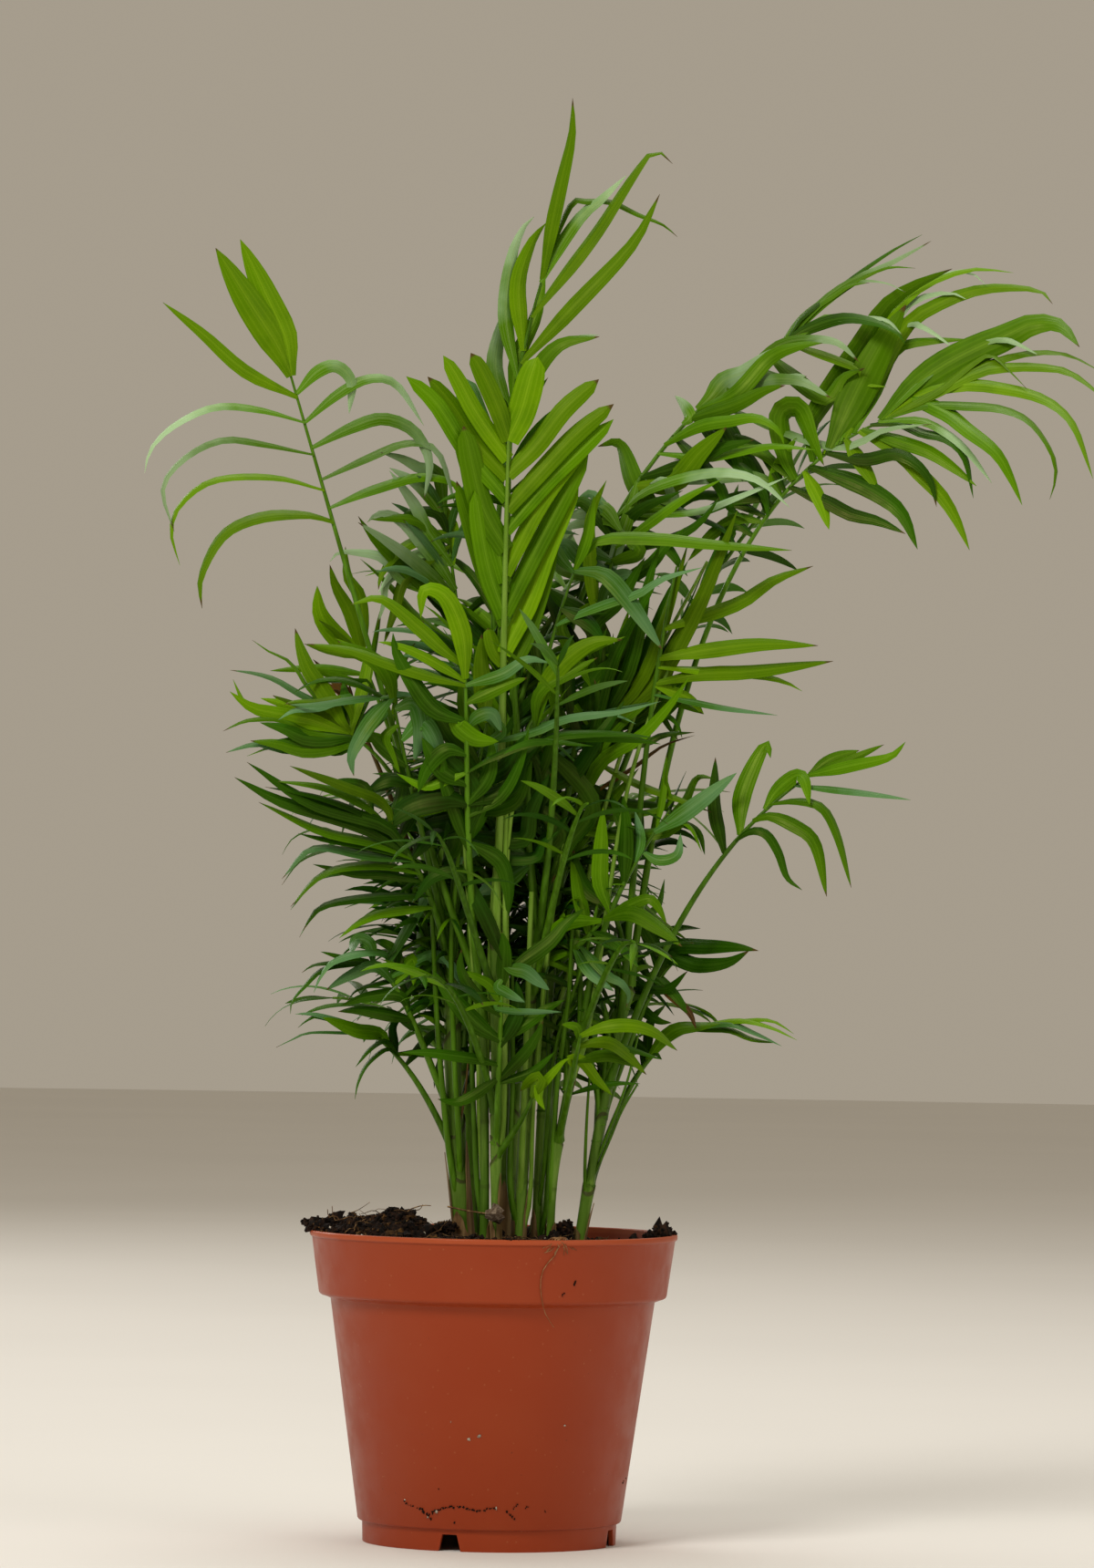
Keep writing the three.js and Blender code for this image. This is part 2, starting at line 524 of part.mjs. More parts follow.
function makeFrond(spec, canes) {
  const start = canes.get(spec.cane).curve.getPoint(spec.at);
  const curve = new THREE.CubicBezierCurve3(start, ...spec.path.map(vec));
  const stalkOf = (extra) => limb(curve, 0, spec.bare + STALK.overlap, [STALK.foot, STALK.tip],
    STALK.sides, STALK.steps, extra);
  return { spec, stalk: stalkOf(0), stalkGrown: stalkOf(GAP), blade: blade(curve, spec, 0),
    bladeGrown: blade(curve, spec, GAP) };
}

/** Uneven closed body for a spray of close leaves. */
function sprayBody({ middle, size }) {
  const geometry = new THREE.SphereGeometry(1, SPRAY.columns, SPRAY.rows);
  const place = geometry.getAttribute('position');
  for (let i = 0; i < place.count; i += 1) {
    const p = new THREE.Vector3().fromBufferAttribute(place, i);
    const lump = 1 + SPRAY.lump * Math.sin(5 * p.x + 2) * Math.cos(4 * p.y + 3 * p.z);
    p.multiplyScalar(lump);
    place.setXYZ(i, middle[0] + size[0] * p.x, middle[1] - size[1] * p.z, middle[2] + size[2] * p.y);
  }
  return solidOfGeometry(geometry);
}

// ---------------------------------------------------------------- assembly

const palm = new THREE.Group();
const canes = new Map(CANES.map((spec) => [spec.name, makeCane(spec)]));
const caneList = [...canes.values()];
const specs = [...PLACED, ...TIERS.flatMap((tier) => frondsOfTier(tier, canes))];
const fronds = specs.map((spec) => makeFrond(spec, canes));
const canesGrown = caneList.map((cane) => cane.grown);

palm.add(meshOf('pot', makePot(), FINISH.pot));
palm.add(meshOf('soil', makeSoil(caneList), FINISH.soil));
caneList.forEach(({ name, solid }) => palm.add(meshOf(name, solid, FINISH.cane)));

// Stalks give way to the canes and to the stalks before them; blades give way to every stalk too.
const standing = [...canesGrown];
fronds.forEach((frond) => {
  frond.stalk = cutFrom(frond.stalk, standing);
  standing.push(frond.stalkGrown);
});
const taken = [];
fronds.forEach((frond) => {
  const others = fronds.filter((other) => other !== frond).map((other) => other.stalkGrown);
  const ownBlade = frond.blade.subtract(Manifold.union([...canesGrown, ...others, ...taken]));
  taken.push(frond.bladeGrown);
  frond.whole = wholePiece(frond.stalk.add(ownBlade));
});
fronds.forEach(({ spec, whole }) => {
  palm.add(meshOf(spec.name, whole, finishOf(spec.name)));
});
SPRAYS.forEach((spray) => {
  palm.add(meshOf(spray.name, cutFrom(sprayBody(spray), [...standing, ...taken]), FINISH.frond));
});

export default palm;
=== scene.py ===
"""A parlour palm in its round nursery pot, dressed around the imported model.

Sizes are in millimetres until a mesh is made, and meshes are in metres. The origin is on the ground under
the middle of the pot; -Y is the front, and +X is the side that the tallest fronds sweep to.
"""

import logging
import math
import random
from dataclasses import dataclass, field
from enum import Enum

import bmesh
import bpy
import numpy as np
from mathutils import Matrix, Vector, noise


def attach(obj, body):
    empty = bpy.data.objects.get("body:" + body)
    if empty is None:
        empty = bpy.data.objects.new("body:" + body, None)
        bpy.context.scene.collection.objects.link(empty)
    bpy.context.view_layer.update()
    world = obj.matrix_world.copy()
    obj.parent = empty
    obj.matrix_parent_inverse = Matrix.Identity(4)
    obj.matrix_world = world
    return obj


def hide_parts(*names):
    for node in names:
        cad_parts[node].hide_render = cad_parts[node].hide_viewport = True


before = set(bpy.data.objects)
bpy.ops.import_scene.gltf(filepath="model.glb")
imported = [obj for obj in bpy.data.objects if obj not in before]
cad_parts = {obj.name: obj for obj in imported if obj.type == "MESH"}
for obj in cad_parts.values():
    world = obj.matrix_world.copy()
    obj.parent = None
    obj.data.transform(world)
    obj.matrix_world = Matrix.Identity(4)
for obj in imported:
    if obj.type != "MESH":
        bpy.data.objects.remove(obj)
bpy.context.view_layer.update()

log = logging.getLogger("parlour_palm")

MM = 0.001
SOIL_LEVEL = 98.5
CANE_FOOT = 95.5

Spot = tuple[float, float]
Point = tuple[float, float, float]
Colour = tuple[float, float, float, float]
Material = bpy.types.Material
Piece = bpy.types.Object
Socket = bpy.types.NodeSocket


# ---------------------------------------------------------------- lines and vectors


def unit(rows: np.ndarray) -> np.ndarray:
    """Vectors at length one."""
    return rows / np.maximum(np.linalg.norm(rows, axis=-1, keepdims=True), 1e-9)


def square_to(rows: np.ndarray, along: np.ndarray) -> np.ndarray:
    """The part of each vector that is square to its direction, at length one."""
    return unit(rows - np.sum(rows * along, axis=-1, keepdims=True) * along)


def tangents(path: np.ndarray) -> np.ndarray:
    """Direction of a line of points at each of them."""
    return unit(np.gradient(path, axis=0))


def run_of(path: np.ndarray) -> np.ndarray:
    """Length of a line of points up to each of them."""
    return np.r_[0, np.cumsum(np.linalg.norm(np.diff(path, axis=0), axis=1))]


def round_turn(count: int) -> np.ndarray:
    """Angles evenly spaced round a circle."""
    return np.linspace(0, 2 * math.pi, count, endpoint=False)


def fade(value: float, low: float, high: float) -> float:
    """Smooth step from 0 at low to 1 at high, for one value or an array."""
    share = np.clip((value - low) / (high - low), 0, 1)
    return share * share * (3 - 2 * share)


@dataclass(frozen=True)
class Curve:
    """Bézier curve from its first control point to its last."""

    controls: tuple[Point, ...]

    def at(self, shares: np.ndarray) -> np.ndarray:
        """Points of the curve.

        Args:
            shares: Shares of the curve.

        Returns:
            The points, one row each.
        """
        rows = np.array(self.controls, float)[:, None, :]
        share = np.asarray(shares, float)[None, :, None]
        while len(rows) > 1:
            rows = rows[:-1] * (1 - share) + rows[1:] * share
        return rows[0]

    def spot(self, share: float) -> np.ndarray:
        """Point at one share of the curve."""
        return self.at(np.array([share]))[0]

    def heading(self, share: float) -> np.ndarray:
        """Direction at one share of the curve."""
        steps = np.diff(np.array(self.controls, float), axis=0)
        return unit(Curve(tuple(map(tuple, steps))).spot(share))

    def nearest(self, x: float, z: float) -> float:
        """Finds where the curve passes closest to a spot, seen from the front.

        Args:
            x: Place of the spot across.
            z: Its height.

        Returns:
            The share.
        """
        shares = np.linspace(0, 1, 201)
        points = self.at(shares)
        return float(shares[np.argmin(np.hypot(points[:, 0] - x, points[:, 2] - z))])


def smooth_route(points: np.ndarray, count: int) -> np.ndarray:
    """Smooth line through points.

    Args:
        points: The points, one row each.
        count: Stations of the line.

    Returns:
        The stations, evenly spaced, one row each.
    """
    points = np.array(points, float)
    ends = np.vstack([2 * points[0] - points[1], points, 2 * points[-1] - points[-2]])
    share = np.linspace(0, 1, 10, endpoint=False)[:, None]
    stretches = []
    for a, b, c, d in zip(ends, ends[1:], ends[2:], ends[3:]):
        bend = (2 * a - 5 * b + 4 * c - d) * share**2 + (3 * b - a - 3 * c + d) * share**3
        stretches.append(b + 0.5 * ((c - a) * share + bend))
    fine = np.vstack([*stretches, points[-1:]])
    run = run_of(fine)
    where = np.linspace(0, run[-1], count)
    return np.stack([np.interp(where, run, fine[:, axis]) for axis in range(3)], 1)


# ---------------------------------------------------------------- meshes


def show(name: str, data: bpy.types.ID) -> Piece:
    """Puts a mesh, light or camera in the scene.

    Args:
        name: Name of its object.
        data: The mesh, light or camera.

    Returns:
        The object.
    """
    piece = bpy.data.objects.new(name, data)
    bpy.context.scene.collection.objects.link(piece)
    return piece


def mesh_of(bm: bmesh.types.BMesh, name: str) -> bpy.types.Mesh:
    """Turns a finished bmesh into a mesh and frees it.

    Args:
        bm: The bmesh.
        name: Name of the mesh.

    Returns:
        The mesh.
    """
    mesh = bpy.data.meshes.new(name)
    bm.to_mesh(mesh)
    bm.free()
    return mesh


def smooth(mesh: bpy.types.Mesh, crease: float) -> None:
    """Shades a mesh smooth, up to edges sharper than an angle in degrees."""
    mesh.shade_smooth()
    mesh.set_sharp_from_angle(angle=math.radians(crease))


class Skin:
    """One mesh gathered from many small closed bodies, each a row of rings."""

    def __init__(self) -> None:
        """Starts with nothing in it."""
        self.points: list[np.ndarray] = []
        self.corners: list[np.ndarray] = []
        self.sizes: list[np.ndarray] = []
        self.maps: list[np.ndarray] = []
        self.slots: list[np.ndarray] = []
        self.tints: list[np.ndarray] = []
        self.total = 0

    def add(self, rings: np.ndarray, along: np.ndarray, slots: int | np.ndarray = 0, tint: float = 0.5,
            across: np.ndarray | None = None) -> None:
        """Adds a closed body.

        Args:
            rings: Points in millimetres, as stations by points round a ring by three.
            along: Second map coordinate at each station.
            slots: Number of its material, or one for each face of a ring.
            tint: Random share that sets this body's shade apart.
            across: First map coordinate at each point of a ring and once more at its end. Left out, it runs
                evenly once round.
        """
        stations, around, _ = rings.shape
        slots = np.broadcast_to(slots, around)
        across = np.linspace(0, 1, around + 1) if across is None else across
        row, column = np.meshgrid(np.arange(stations - 1), np.arange(around), indexing="ij")
        first = self.total + row * around
        after = (column + 1) % around
        corners = np.stack([first + column, first + after, first + around + after,
                            first + around + column], -1)
        u = np.stack([across[column], across[column + 1], across[column + 1], across[column]], -1)
        v = np.stack([along[row], along[row], along[row + 1], along[row + 1]], -1)
        # The far half of a ring is split along the other diagonal, so the walls of a thin blade stay apart.
        far = slice(around // 2, None)
        for part in (corners, u, v):
            part[:, far] = np.roll(part[:, far], -1, axis=-1)
        last = self.total + (stations - 1) * around
        caps = np.r_[np.arange(around)[::-1] + self.total, np.arange(around) + last]
        cap_map = np.c_[np.r_[across[:-1][::-1], across[:-1]], np.repeat([along[0], along[-1]], around)]
        self.points.append(rings.reshape(-1, 3))
        self.corners += [corners.reshape(-1), caps]
        self.sizes += [np.full(row.size, 4), np.full(2, around)]
        self.maps += [np.stack([u, v], -1).reshape(-1, 2), cap_map]
        self.slots += [slots[column].reshape(-1), np.full(2, slots[0])]
        self.tints.append(np.full(stations * around, tint))
        self.total += stations * around

    def make(self, name: str, materials: list[Material], crease: float = 180.0) -> Piece:
        """Makes the object.

        Args:
            name: Name of the object.
            materials: Its materials, in the order of the slot numbers.
            crease: Angle in degrees above which an edge stays sharp.

        Returns:
            The object, linked to the scene.
        """
        mesh = bpy.data.meshes.new(name)
        corners, sizes = np.concatenate(self.corners), np.concatenate(self.sizes)
        mesh.vertices.add(self.total)
        mesh.vertices.foreach_set("co", (np.concatenate(self.points) * MM).astype(np.float32).ravel())
        mesh.loops.add(len(corners))
        mesh.loops.foreach_set("vertex_index", corners.astype(np.int32))
        mesh.polygons.add(len(sizes))
        mesh.polygons.foreach_set("loop_start", np.r_[0, np.cumsum(sizes)[:-1]].astype(np.int32))
        used, slots = np.unique(np.concatenate(self.slots), return_inverse=True)
        mesh.polygons.foreach_set("material_index", slots.astype(np.int32))
        layer = mesh.uv_layers.new(name="UVMap")
        layer.uv.foreach_set("vector", np.concatenate(self.maps).astype(np.float32).ravel())
        tint = mesh.attributes.new("tint", "FLOAT", "POINT")
        tint.data.foreach_set("value", np.concatenate(self.tints).astype(np.float32))
        for number in used:
            mesh.materials.append(materials[number])
        mesh.update(calc_edges=True)
        smooth(mesh, crease)
        return show(name, mesh)


def add_tube(skin: Skin, path: np.ndarray, radii: np.ndarray, sides: int, slot: int = 0,
             tint: float = 0.5, pitch: float = 10.0) -> None:
    """Adds a round limb with closed ends.

    Args:
        skin: Mesh that it joins.
        path: Stations of its middle, one row each.
        radii: Radius at each station.
        sides: Sides of its section.
        slot: Number of its material.
        tint: Random share that sets its shade apart.
        pitch: Length that one turn of the second map coordinate stands for.
    """
    along = tangents(path)
    side = np.zeros_like(path)
    held = np.array([1.0, 0.0, 0.0] if abs(along[0, 0]) < 0.9 else [0.0, 1.0, 0.0])
    for i, heading in enumerate(along):
        held = square_to(held, heading)
        side[i] = held
    other = np.cross(along, side)
    turn = round_turn(sides)[None, :, None]
    spread = side[:, None] * np.cos(turn) + other[:, None] * np.sin(turn)
    skin.add(path[:, None] + spread * radii[:, None, None], run_of(path) / pitch, slot, tint)


# Places across a leaflet: over the upper face from edge to edge, then back under it.
LEAF_RING = np.array([-1, -0.55, 0, 0.55, 1, 0.55, 0, -0.55])
LEAF_FACES = np.array([1, 1, 1, 1, -1, -1, -1, -1])
LEAF_MAP = np.r_[(LEAF_RING + 1) / 2, 0]
LEAF_THICKNESS = 0.34
# Height of the waves in a leaflet's edges, as a share of its half-width.
LEAF_RIPPLE = 0.05


def leaf_outline(along: np.ndarray, foot: float, blunt: float) -> np.ndarray:
    """Half-width of a leaflet, from the rib to its drawn-out tip.

    Args:
        along: Shares of its length.
        foot: Width where it leaves the rib, as a share of the largest.
        blunt: How long it stays wide before the tip.

    Returns:
        The half-width at each, as a share of the largest.
    """
    foot = foot + (1 - foot) * fade(along, -0.05, 0.34)
    tip = np.cos(0.5 * math.pi * np.clip((along - 0.28) / 0.72, 0, 1) ** blunt) ** (1 / blunt)
    return np.maximum(foot * tip, 0.02)


def add_leaflet(skin: Skin, path: np.ndarray, facing: np.ndarray, width: float, slot: int, tint: float,
                fold: float, twist: float, foot: float, blunt: float) -> None:
    """Adds one leaflet, a thin closed blade with a ridge along its middle.

    Args:
        skin: Mesh that it joins.
        path: Stations of its middle from the rib to the tip, one row each.
        facing: Direction that its upper face looks in, for all stations or one row each.
        width: Its largest width.
        slot: Number of its upper material; the next number is the one below.
        tint: Random share that sets its shade apart.
        fold: Rise of the ridge as a share of the half-width.
        twist: Turn about its middle towards the tip, in radians.
        foot: Width where it leaves the rib, as a share of the largest.
        blunt: How long it stays wide before the tip.
    """
    along = tangents(path)
    share = np.linspace(0, 1, len(path))
    upper = square_to(np.broadcast_to(facing, path.shape), along)
    side = np.cross(along, upper)
    turn = (twist * share)[:, None]
    upper, side = upper * np.cos(turn) + side * np.sin(turn), side * np.cos(turn) - upper * np.sin(turn)
    half = width / 2 * leaf_outline(share, foot, blunt)
    ripple = LEAF_RIPPLE * np.sin(9 * share + 20 * tint)[:, None] * np.abs(LEAF_RING)
    lift = half[:, None] * (fold * (1 - np.abs(LEAF_RING)) + ripple)
    body = LEAF_FACES * (1 - LEAF_RING**2) * LEAF_THICKNESS / 2
    lift = lift + body * (0.3 + 0.7 * half / half.max())[:, None]
    rings = path[:, None] + side[:, None] * (half[:, None] * LEAF_RING)[..., None]
    rings += upper[:, None] * lift[..., None]
    skin.add(rings, share, np.where(LEAF_FACES > 0, slot, slot + 1), tint, LEAF_MAP)


# ---------------------------------------------------------------- finishes


def linear(code: int) -> Colour:
    """Linear colour of a 0xRRGGBB screen colour."""
    parts = [(code >> shift & 255) / 255 for shift in (16, 8, 0)]
    return (*(p / 12.92 if p <= 0.04045 else ((p + 0.055) / 1.055) ** 2.4 for p in parts), 1.0)


class Paint:
    """Lays out the nodes of one material in front of its Principled shader, coat over coat."""

    def __init__(self, name: str, ground: int, **sockets: object) -> None:
        """Makes the material.

        Args:
            name: Its name.
            ground: Colour of its first coat.
            sockets: Values for the shader's sockets, with _ for the spaces in their names.
        """
        self.material = bpy.data.materials.new(name)
        self.material.use_nodes = True
        self.tree = self.material.node_tree
        self.shader = self.tree.nodes["Principled BSDF"]
        self.colour: object = linear(ground)
        self.fill(self.shader, **sockets)

    def fill(self, node: bpy.types.Node, **inputs: object) -> None:
        """Links sockets of a node or sets their values, by socket name with _ for spaces."""
        for name, value in inputs.items():
            self.feed(node.inputs[name.replace("_", " ")], value)

    def feed(self, socket: Socket, value: object) -> None:
        """Links a socket to another, or sets its value.

        Args:
            socket: The socket.
            value: A socket to link it to, or its value.
        """
        if isinstance(value, Socket):
            self.tree.links.new(value, socket)
        else:
            socket.default_value = value

    def node(self, kind: str, **inputs: object) -> bpy.types.Node:
        """Adds a node.

        Args:
            kind: Its type, without the ShaderNode at the front.
            inputs: Sockets to link or values to set, by socket name with _ for spaces.

        Returns:
            The node.
        """
        node = self.tree.nodes.new("ShaderNode" + kind)
        self.fill(node, **inputs)
        return node

    def place(self) -> Socket:
        """Place on the object, in metres."""
        return self.node("TexCoord").outputs["Object"]

    def map(self) -> tuple[Socket, Socket]:
        """The two map coordinates."""
        parts = self.node("SeparateXYZ", Vector=self.node("TexCoord").outputs["UV"])
        return parts.outputs["X"], parts.outputs["Y"]

    def tint(self) -> Socket:
        """Random share that sets each small body apart.

        Returns:
            The share.
        """
        node = self.node("Attribute")
        node.attribute_name = "tint"
        return node.outputs["Fac"]

    def cloud(self, size: float, detail: float = 3.0, stretch: Point = (1, 1, 1)) -> Socket:
        """Cloudy pattern.

        Args:
            size: Size of its patches in millimetres.
            detail: Octaves of finer pattern.
            stretch: Scale of the pattern along each axis.

        Returns:
            Its value, around a half.
        """
        spread = self.node("Mapping", Vector=self.place(), Scale=stretch).outputs["Vector"]
        return self.node("TexNoise", Vector=spread, Scale=1 / (size * MM), Detail=detail).outputs["Fac"]

    def ramp(self, value: Socket, low: float, high: float, start: float = 0.0, end: float = 1.0) -> Socket:
        """Smooth change of a value.

        Args:
            value: What it follows.
            low: Value at which it starts.
            high: Value at which it ends.
            start: Result up to low.
            end: Result from high on.

        Returns:
            The result.
        """
        node = self.node("MapRange", Value=value, From_Min=low, From_Max=high, To_Min=start, To_Max=end)
        node.interpolation_type = "SMOOTHSTEP"
        return node.outputs["Result"]

    def sum(self, operation: str, first: Socket, second: object = 0.0) -> Socket:
        """Result of one sum on two values.

        Args:
            operation: Name of the sum.
            first: The first value.
            second: The second, a socket or a number.

        Returns:
            The result.
        """
        node = self.node("Math")
        node.operation = operation
        self.feed(node.inputs[0], first)
        self.feed(node.inputs[1], second)
        return node.outputs[0]

    def off_middle(self, value: Socket) -> Socket:
        """How far a value is from a half."""
        return self.sum("ABSOLUTE", self.sum("SUBTRACT", value, 0.5))

    def coat(self, share: Socket, colour: int, mode: str = "MIX") -> None:
        """Lays a colour over the coats before it.

        Args:
            share: How much of it shows.
            colour: The colour.
            mode: How they mix.
        """
        node = self.tree.nodes.new("ShaderNodeMix")
        node.data_type, node.blend_type = "RGBA", mode
        for number, value in ((0, share), (6, self.colour), (7, linear(colour))):
            self.feed(node.inputs[number], value)
        self.colour = node.outputs[2]

    def vary(self, colour: int, most: float = 0.5) -> None:
        """Glazes each small body with a colour, more or less strongly by its random share."""
        self.coat(self.ramp(self.tint(), 0.0, 1.0, 0.0, most), colour, "MULTIPLY")

    def relief(self, height: Socket, depth: float, strength: float = 1.0) -> None:
        """Gives the surface relief.

        Args:
            height: Pattern of the relief.
            depth: Its depth in millimetres.
            strength: How strongly it shows.
        """
        node = self.node("Bump", Height=height, Distance=depth * MM, Strength=strength)
        self.fill(self.shader, Normal=node.outputs["Normal"])

    def finish(self) -> Material:
        """The material, with all its coats on."""
        self.fill(self.shader, Base_Color=self.colour)
        return self.material


class Tone(Enum):
    """Leaf colours, dealt out leaflet by leaflet: the leaf's own greens, and also painted light and shade,
    for the darker DEEP and SHADE are dealt where shade falls deep in the clump. The number is the first of
    two material slots.
    """

    DEEP = 0
    MID = 2
    # A paler yellow-green: painted glow of light shining through the leaflet.
    BRIGHT = 4
    # A bluish green: painted sheen of sky light on glossy leaflets.
    BLOOM = 6
    SHADE = 8
    DRY = 10
    OLIVE = 12
    # Dark green that turns pale towards the tip: painted sheen of sky light where the leaflet arches over.
    FROST = 14


class Stem(Enum):
    """Colours of a rib, as material slots of its mesh."""

    GREEN = 0
    RED = 1
    PALE = 2


@dataclass(frozen=True)
class LeafFinish:
    """One face of a leaf: two greens that mottle it, its outer half, which on the sheen tones is a painted
    sheen of sky light, its veins and its gloss.
    """

    name: str
    green: int
    patch: int
    outer: int
    vein: int
    gloss: float
    age: int = 0x7C8850
    withered: int = 0x4A3A1C
    withered_share: float = 0.012
    veins: float = 1.9

    def make(self) -> Material:
        """Lays all its coats.

        Returns:
            The material.
        """
        paint = Paint(self.name, self.green, Roughness=1 - self.gloss, Specular_IOR_Level=0.16,
                      Specular_Tint=(1, 0.95, 0.25, 1))
        across, along = paint.map()
        paint.coat(paint.ramp(paint.cloud(9), 0.35, 0.7), self.patch)
        # The outer half fades to the outer colour; on the sheen tones that is a painted sheen of sky light
        # where the leaflet arches over.
        reach = paint.sum("ADD", along, paint.ramp(paint.cloud(22), 0.3, 0.7, -0.2, 0.2))
        paint.coat(paint.ramp(reach, 0.3, 0.8), self.outer)
        line = paint.node("CombineXYZ", X=across).outputs[0]
        veins = paint.node("TexWave", Vector=line, Scale=self.veins, Distortion=0.0).outputs["Fac"]
        paint.coat(paint.ramp(veins, 0.55, 1.0, 0.0, 0.22), self.vein)
        paint.coat(paint.ramp(paint.off_middle(across), 0.015, 0.05, 0.45, 0.0), self.vein)
        paint.vary(self.age)
        worn = paint.sum("ADD", along, paint.ramp(paint.tint(), 0.0, 1.0, -0.02, 0.05))
        paint.coat(paint.ramp(worn, 1.0 - self.withered_share, 1.02), self.withered)
        rough = paint.ramp(paint.cloud(6), 0.3, 0.7, 0.94 - self.gloss, 1.06 - self.gloss)
        paint.fill(paint.shader, Roughness=rough)
        paint.relief(veins, 0.05, 0.5)
        return paint.finish()


# The upper and the lower face of each tone, in the order of their numbers.
# Each lower face is lighter and yellower: partly the leaf's own paler underside, partly painted light
# shining through the leaflet.
LEAF_FINISHES = (
    LeafFinish("leaf_deep_upper", 0x204600, 0x183A00, 0x2A5800, 0x48721A, 0.6),
    LeafFinish("leaf_deep_under", 0x30600A, 0x285608, 0x34660E, 0x4C7A22, 0.45),
    LeafFinish("leaf_mid_upper", 0x4A7700, 0x3E6A00, 0x528000, 0x709C1C, 0.6),
    LeafFinish("leaf_mid_under", 0x548004, 0x4A7602, 0x568606, 0x769E28, 0.45),
    LeafFinish("leaf_bright_upper", 0x648E00, 0x568000, 0x5E8A00, 0x86AA1C, 0.54),
    LeafFinish("leaf_bright_under", 0x6C9602, 0x608C00, 0x689404, 0x8EB02A, 0.45),
    LeafFinish("leaf_bloom_upper", 0x386A0C, 0x3E7028, 0x588452, 0x749A66, 0.58),
    LeafFinish("leaf_bloom_under", 0x467410, 0x46761E, 0x547E3C, 0x709650, 0.45),
    LeafFinish("leaf_shade_upper", 0x123600, 0x0E2C00, 0x184404, 0x2E5C16, 0.56),
    LeafFinish("leaf_shade_under", 0x1E4A06, 0x174004, 0x245208, 0x3A661C, 0.45),
    LeafFinish("leaf_dry_upper", 0x6E4820, 0x82602C, 0x3E2612, 0x8E7040, 0.3),
    LeafFinish("leaf_dry_under", 0x5E3C1C, 0x765026, 0x442A14, 0x84663A, 0.3),
    LeafFinish("leaf_olive_upper", 0x466600, 0x3C5A00, 0x426200, 0x607E10, 0.54),
    LeafFinish("leaf_olive_under", 0x4A6A04, 0x406002, 0x466604, 0x64821C, 0.45),
    LeafFinish("leaf_frost_upper", 0x4C7A00, 0x528204, 0x9EBC90, 0x8EAC60, 0.56),
    LeafFinish("leaf_frost_under", 0x4E7E00, 0x568606, 0x9EBE88, 0x96B46E, 0.45),
)


@dataclass(frozen=True)
class StemFinish:
    """Canes, stalks and ribs: a smooth green skin with streaks, darker patches and ring scars, and on
    sheaths a torn dark top edge.
    """

    name: str
    green: int
    streak: int
    scar: int
    scars: float = 0.0
    worn_edge: float = 0.0
    torn: int = 0x33261A
    age: int = 0x8CA054
    grain: Point = (1, 1, 0.06)

    def make(self) -> Material:
        """Lays all its coats.

        Returns:
            The material.
        """
        paint = Paint(self.name, self.green, Roughness=0.45, Specular_IOR_Level=0.25,
                      Specular_Tint=(0.9, 1, 0.5, 1))
        _, along = paint.map()
        paint.coat(paint.ramp(paint.cloud(1.6, 4, self.grain), 0.4, 0.65, 0.0, 0.7), self.streak)
        paint.coat(paint.ramp(paint.cloud(14), 0.45, 0.75, 0.0, 0.35), self.scar)
        ring = paint.off_middle(paint.sum("FRACT", along))
        paint.coat(paint.ramp(ring, 0.45, 0.49, 0.0, self.scars), self.scar)
        paint.coat(paint.ramp(along, 0.9, 0.97, 0.0, self.worn_edge), self.torn)
        paint.vary(self.age)
        paint.relief(paint.cloud(1.2, 4, self.grain), 0.08, 0.5)
        return paint.finish()


STEM_GREEN = StemFinish("stem_green", 0x3E6600, 0x568418, 0x2E4A00)
STEM_RED = StemFinish("stem_red", 0x4E3418, 0x5E4A22, 0x34200E)
STEM_PALE = StemFinish("stem_pale", 0x749A30, 0x90B24C, 0x587A20)
STEM_CANE = StemFinish("stem_cane", 0x4C7218, 0x709236, 0x34420E, 0.35)
HUSK = StemFinish("husk", 0x6A4E32, 0x9A8058, 0x2E1C10)
SHEATH = StemFinish("sheath", 0x527620, 0x6E9036, 0x3E4616, 0.0, 0.8)


@dataclass(frozen=True)
class PotFinish:
    """Satin moulded plastic with a painted highlight along its lip, fine scuffs and specks, and tiny specks
    of mud low down.
    """

    body: int = 0x933614
    pale: int = 0x963C1A
    scuff: int = 0xAA6A46
    # Colour of the painted highlight along the top of the lip, where light falls from above.
    lip: int = 0xB85A34
    lip_highlight_heights: Spot = (0.0988, 0.0998)
    mud: int = 0x3A2418
    mud_heights: Spot = (0.002, 0.05)

    def make(self) -> Material:
        """Lays all its coats.

        Returns:
            The material.
        """
        paint = Paint("pot_plastic", self.body, Roughness=0.42, Specular_IOR_Level=0.3,
                      Specular_Tint=(1, 0.85, 0.75, 1))
        paint.coat(paint.ramp(paint.cloud(26, 5), 0.35, 0.7, 0.0, 0.5), self.pale)
        specks = paint.node("TexVoronoi", Vector=paint.place(), Scale=260.0).outputs["Distance"]
        paint.coat(paint.ramp(specks, 0.04, 0.12, 0.35, 0.0), self.scuff)
        height = paint.node("SeparateXYZ", Vector=paint.place()).outputs["Z"]
        # Painted highlight: the lip is coloured lighter, as if lit from above.
        paint.coat(paint.ramp(height, *self.lip_highlight_heights, 0.0, 0.4), self.lip)
        low = paint.ramp(height, *self.mud_heights, 1.0, 0.25)
        paint.coat(paint.sum("MULTIPLY", paint.ramp(paint.cloud(1.6, 2), 0.74, 0.8), low), self.mud)
        paint.fill(paint.shader, Roughness=paint.ramp(paint.cloud(8, 6), 0.3, 0.7, 0.36, 0.5))
        paint.relief(paint.cloud(0.9, 3), 0.03, 0.4)
        return paint.finish()


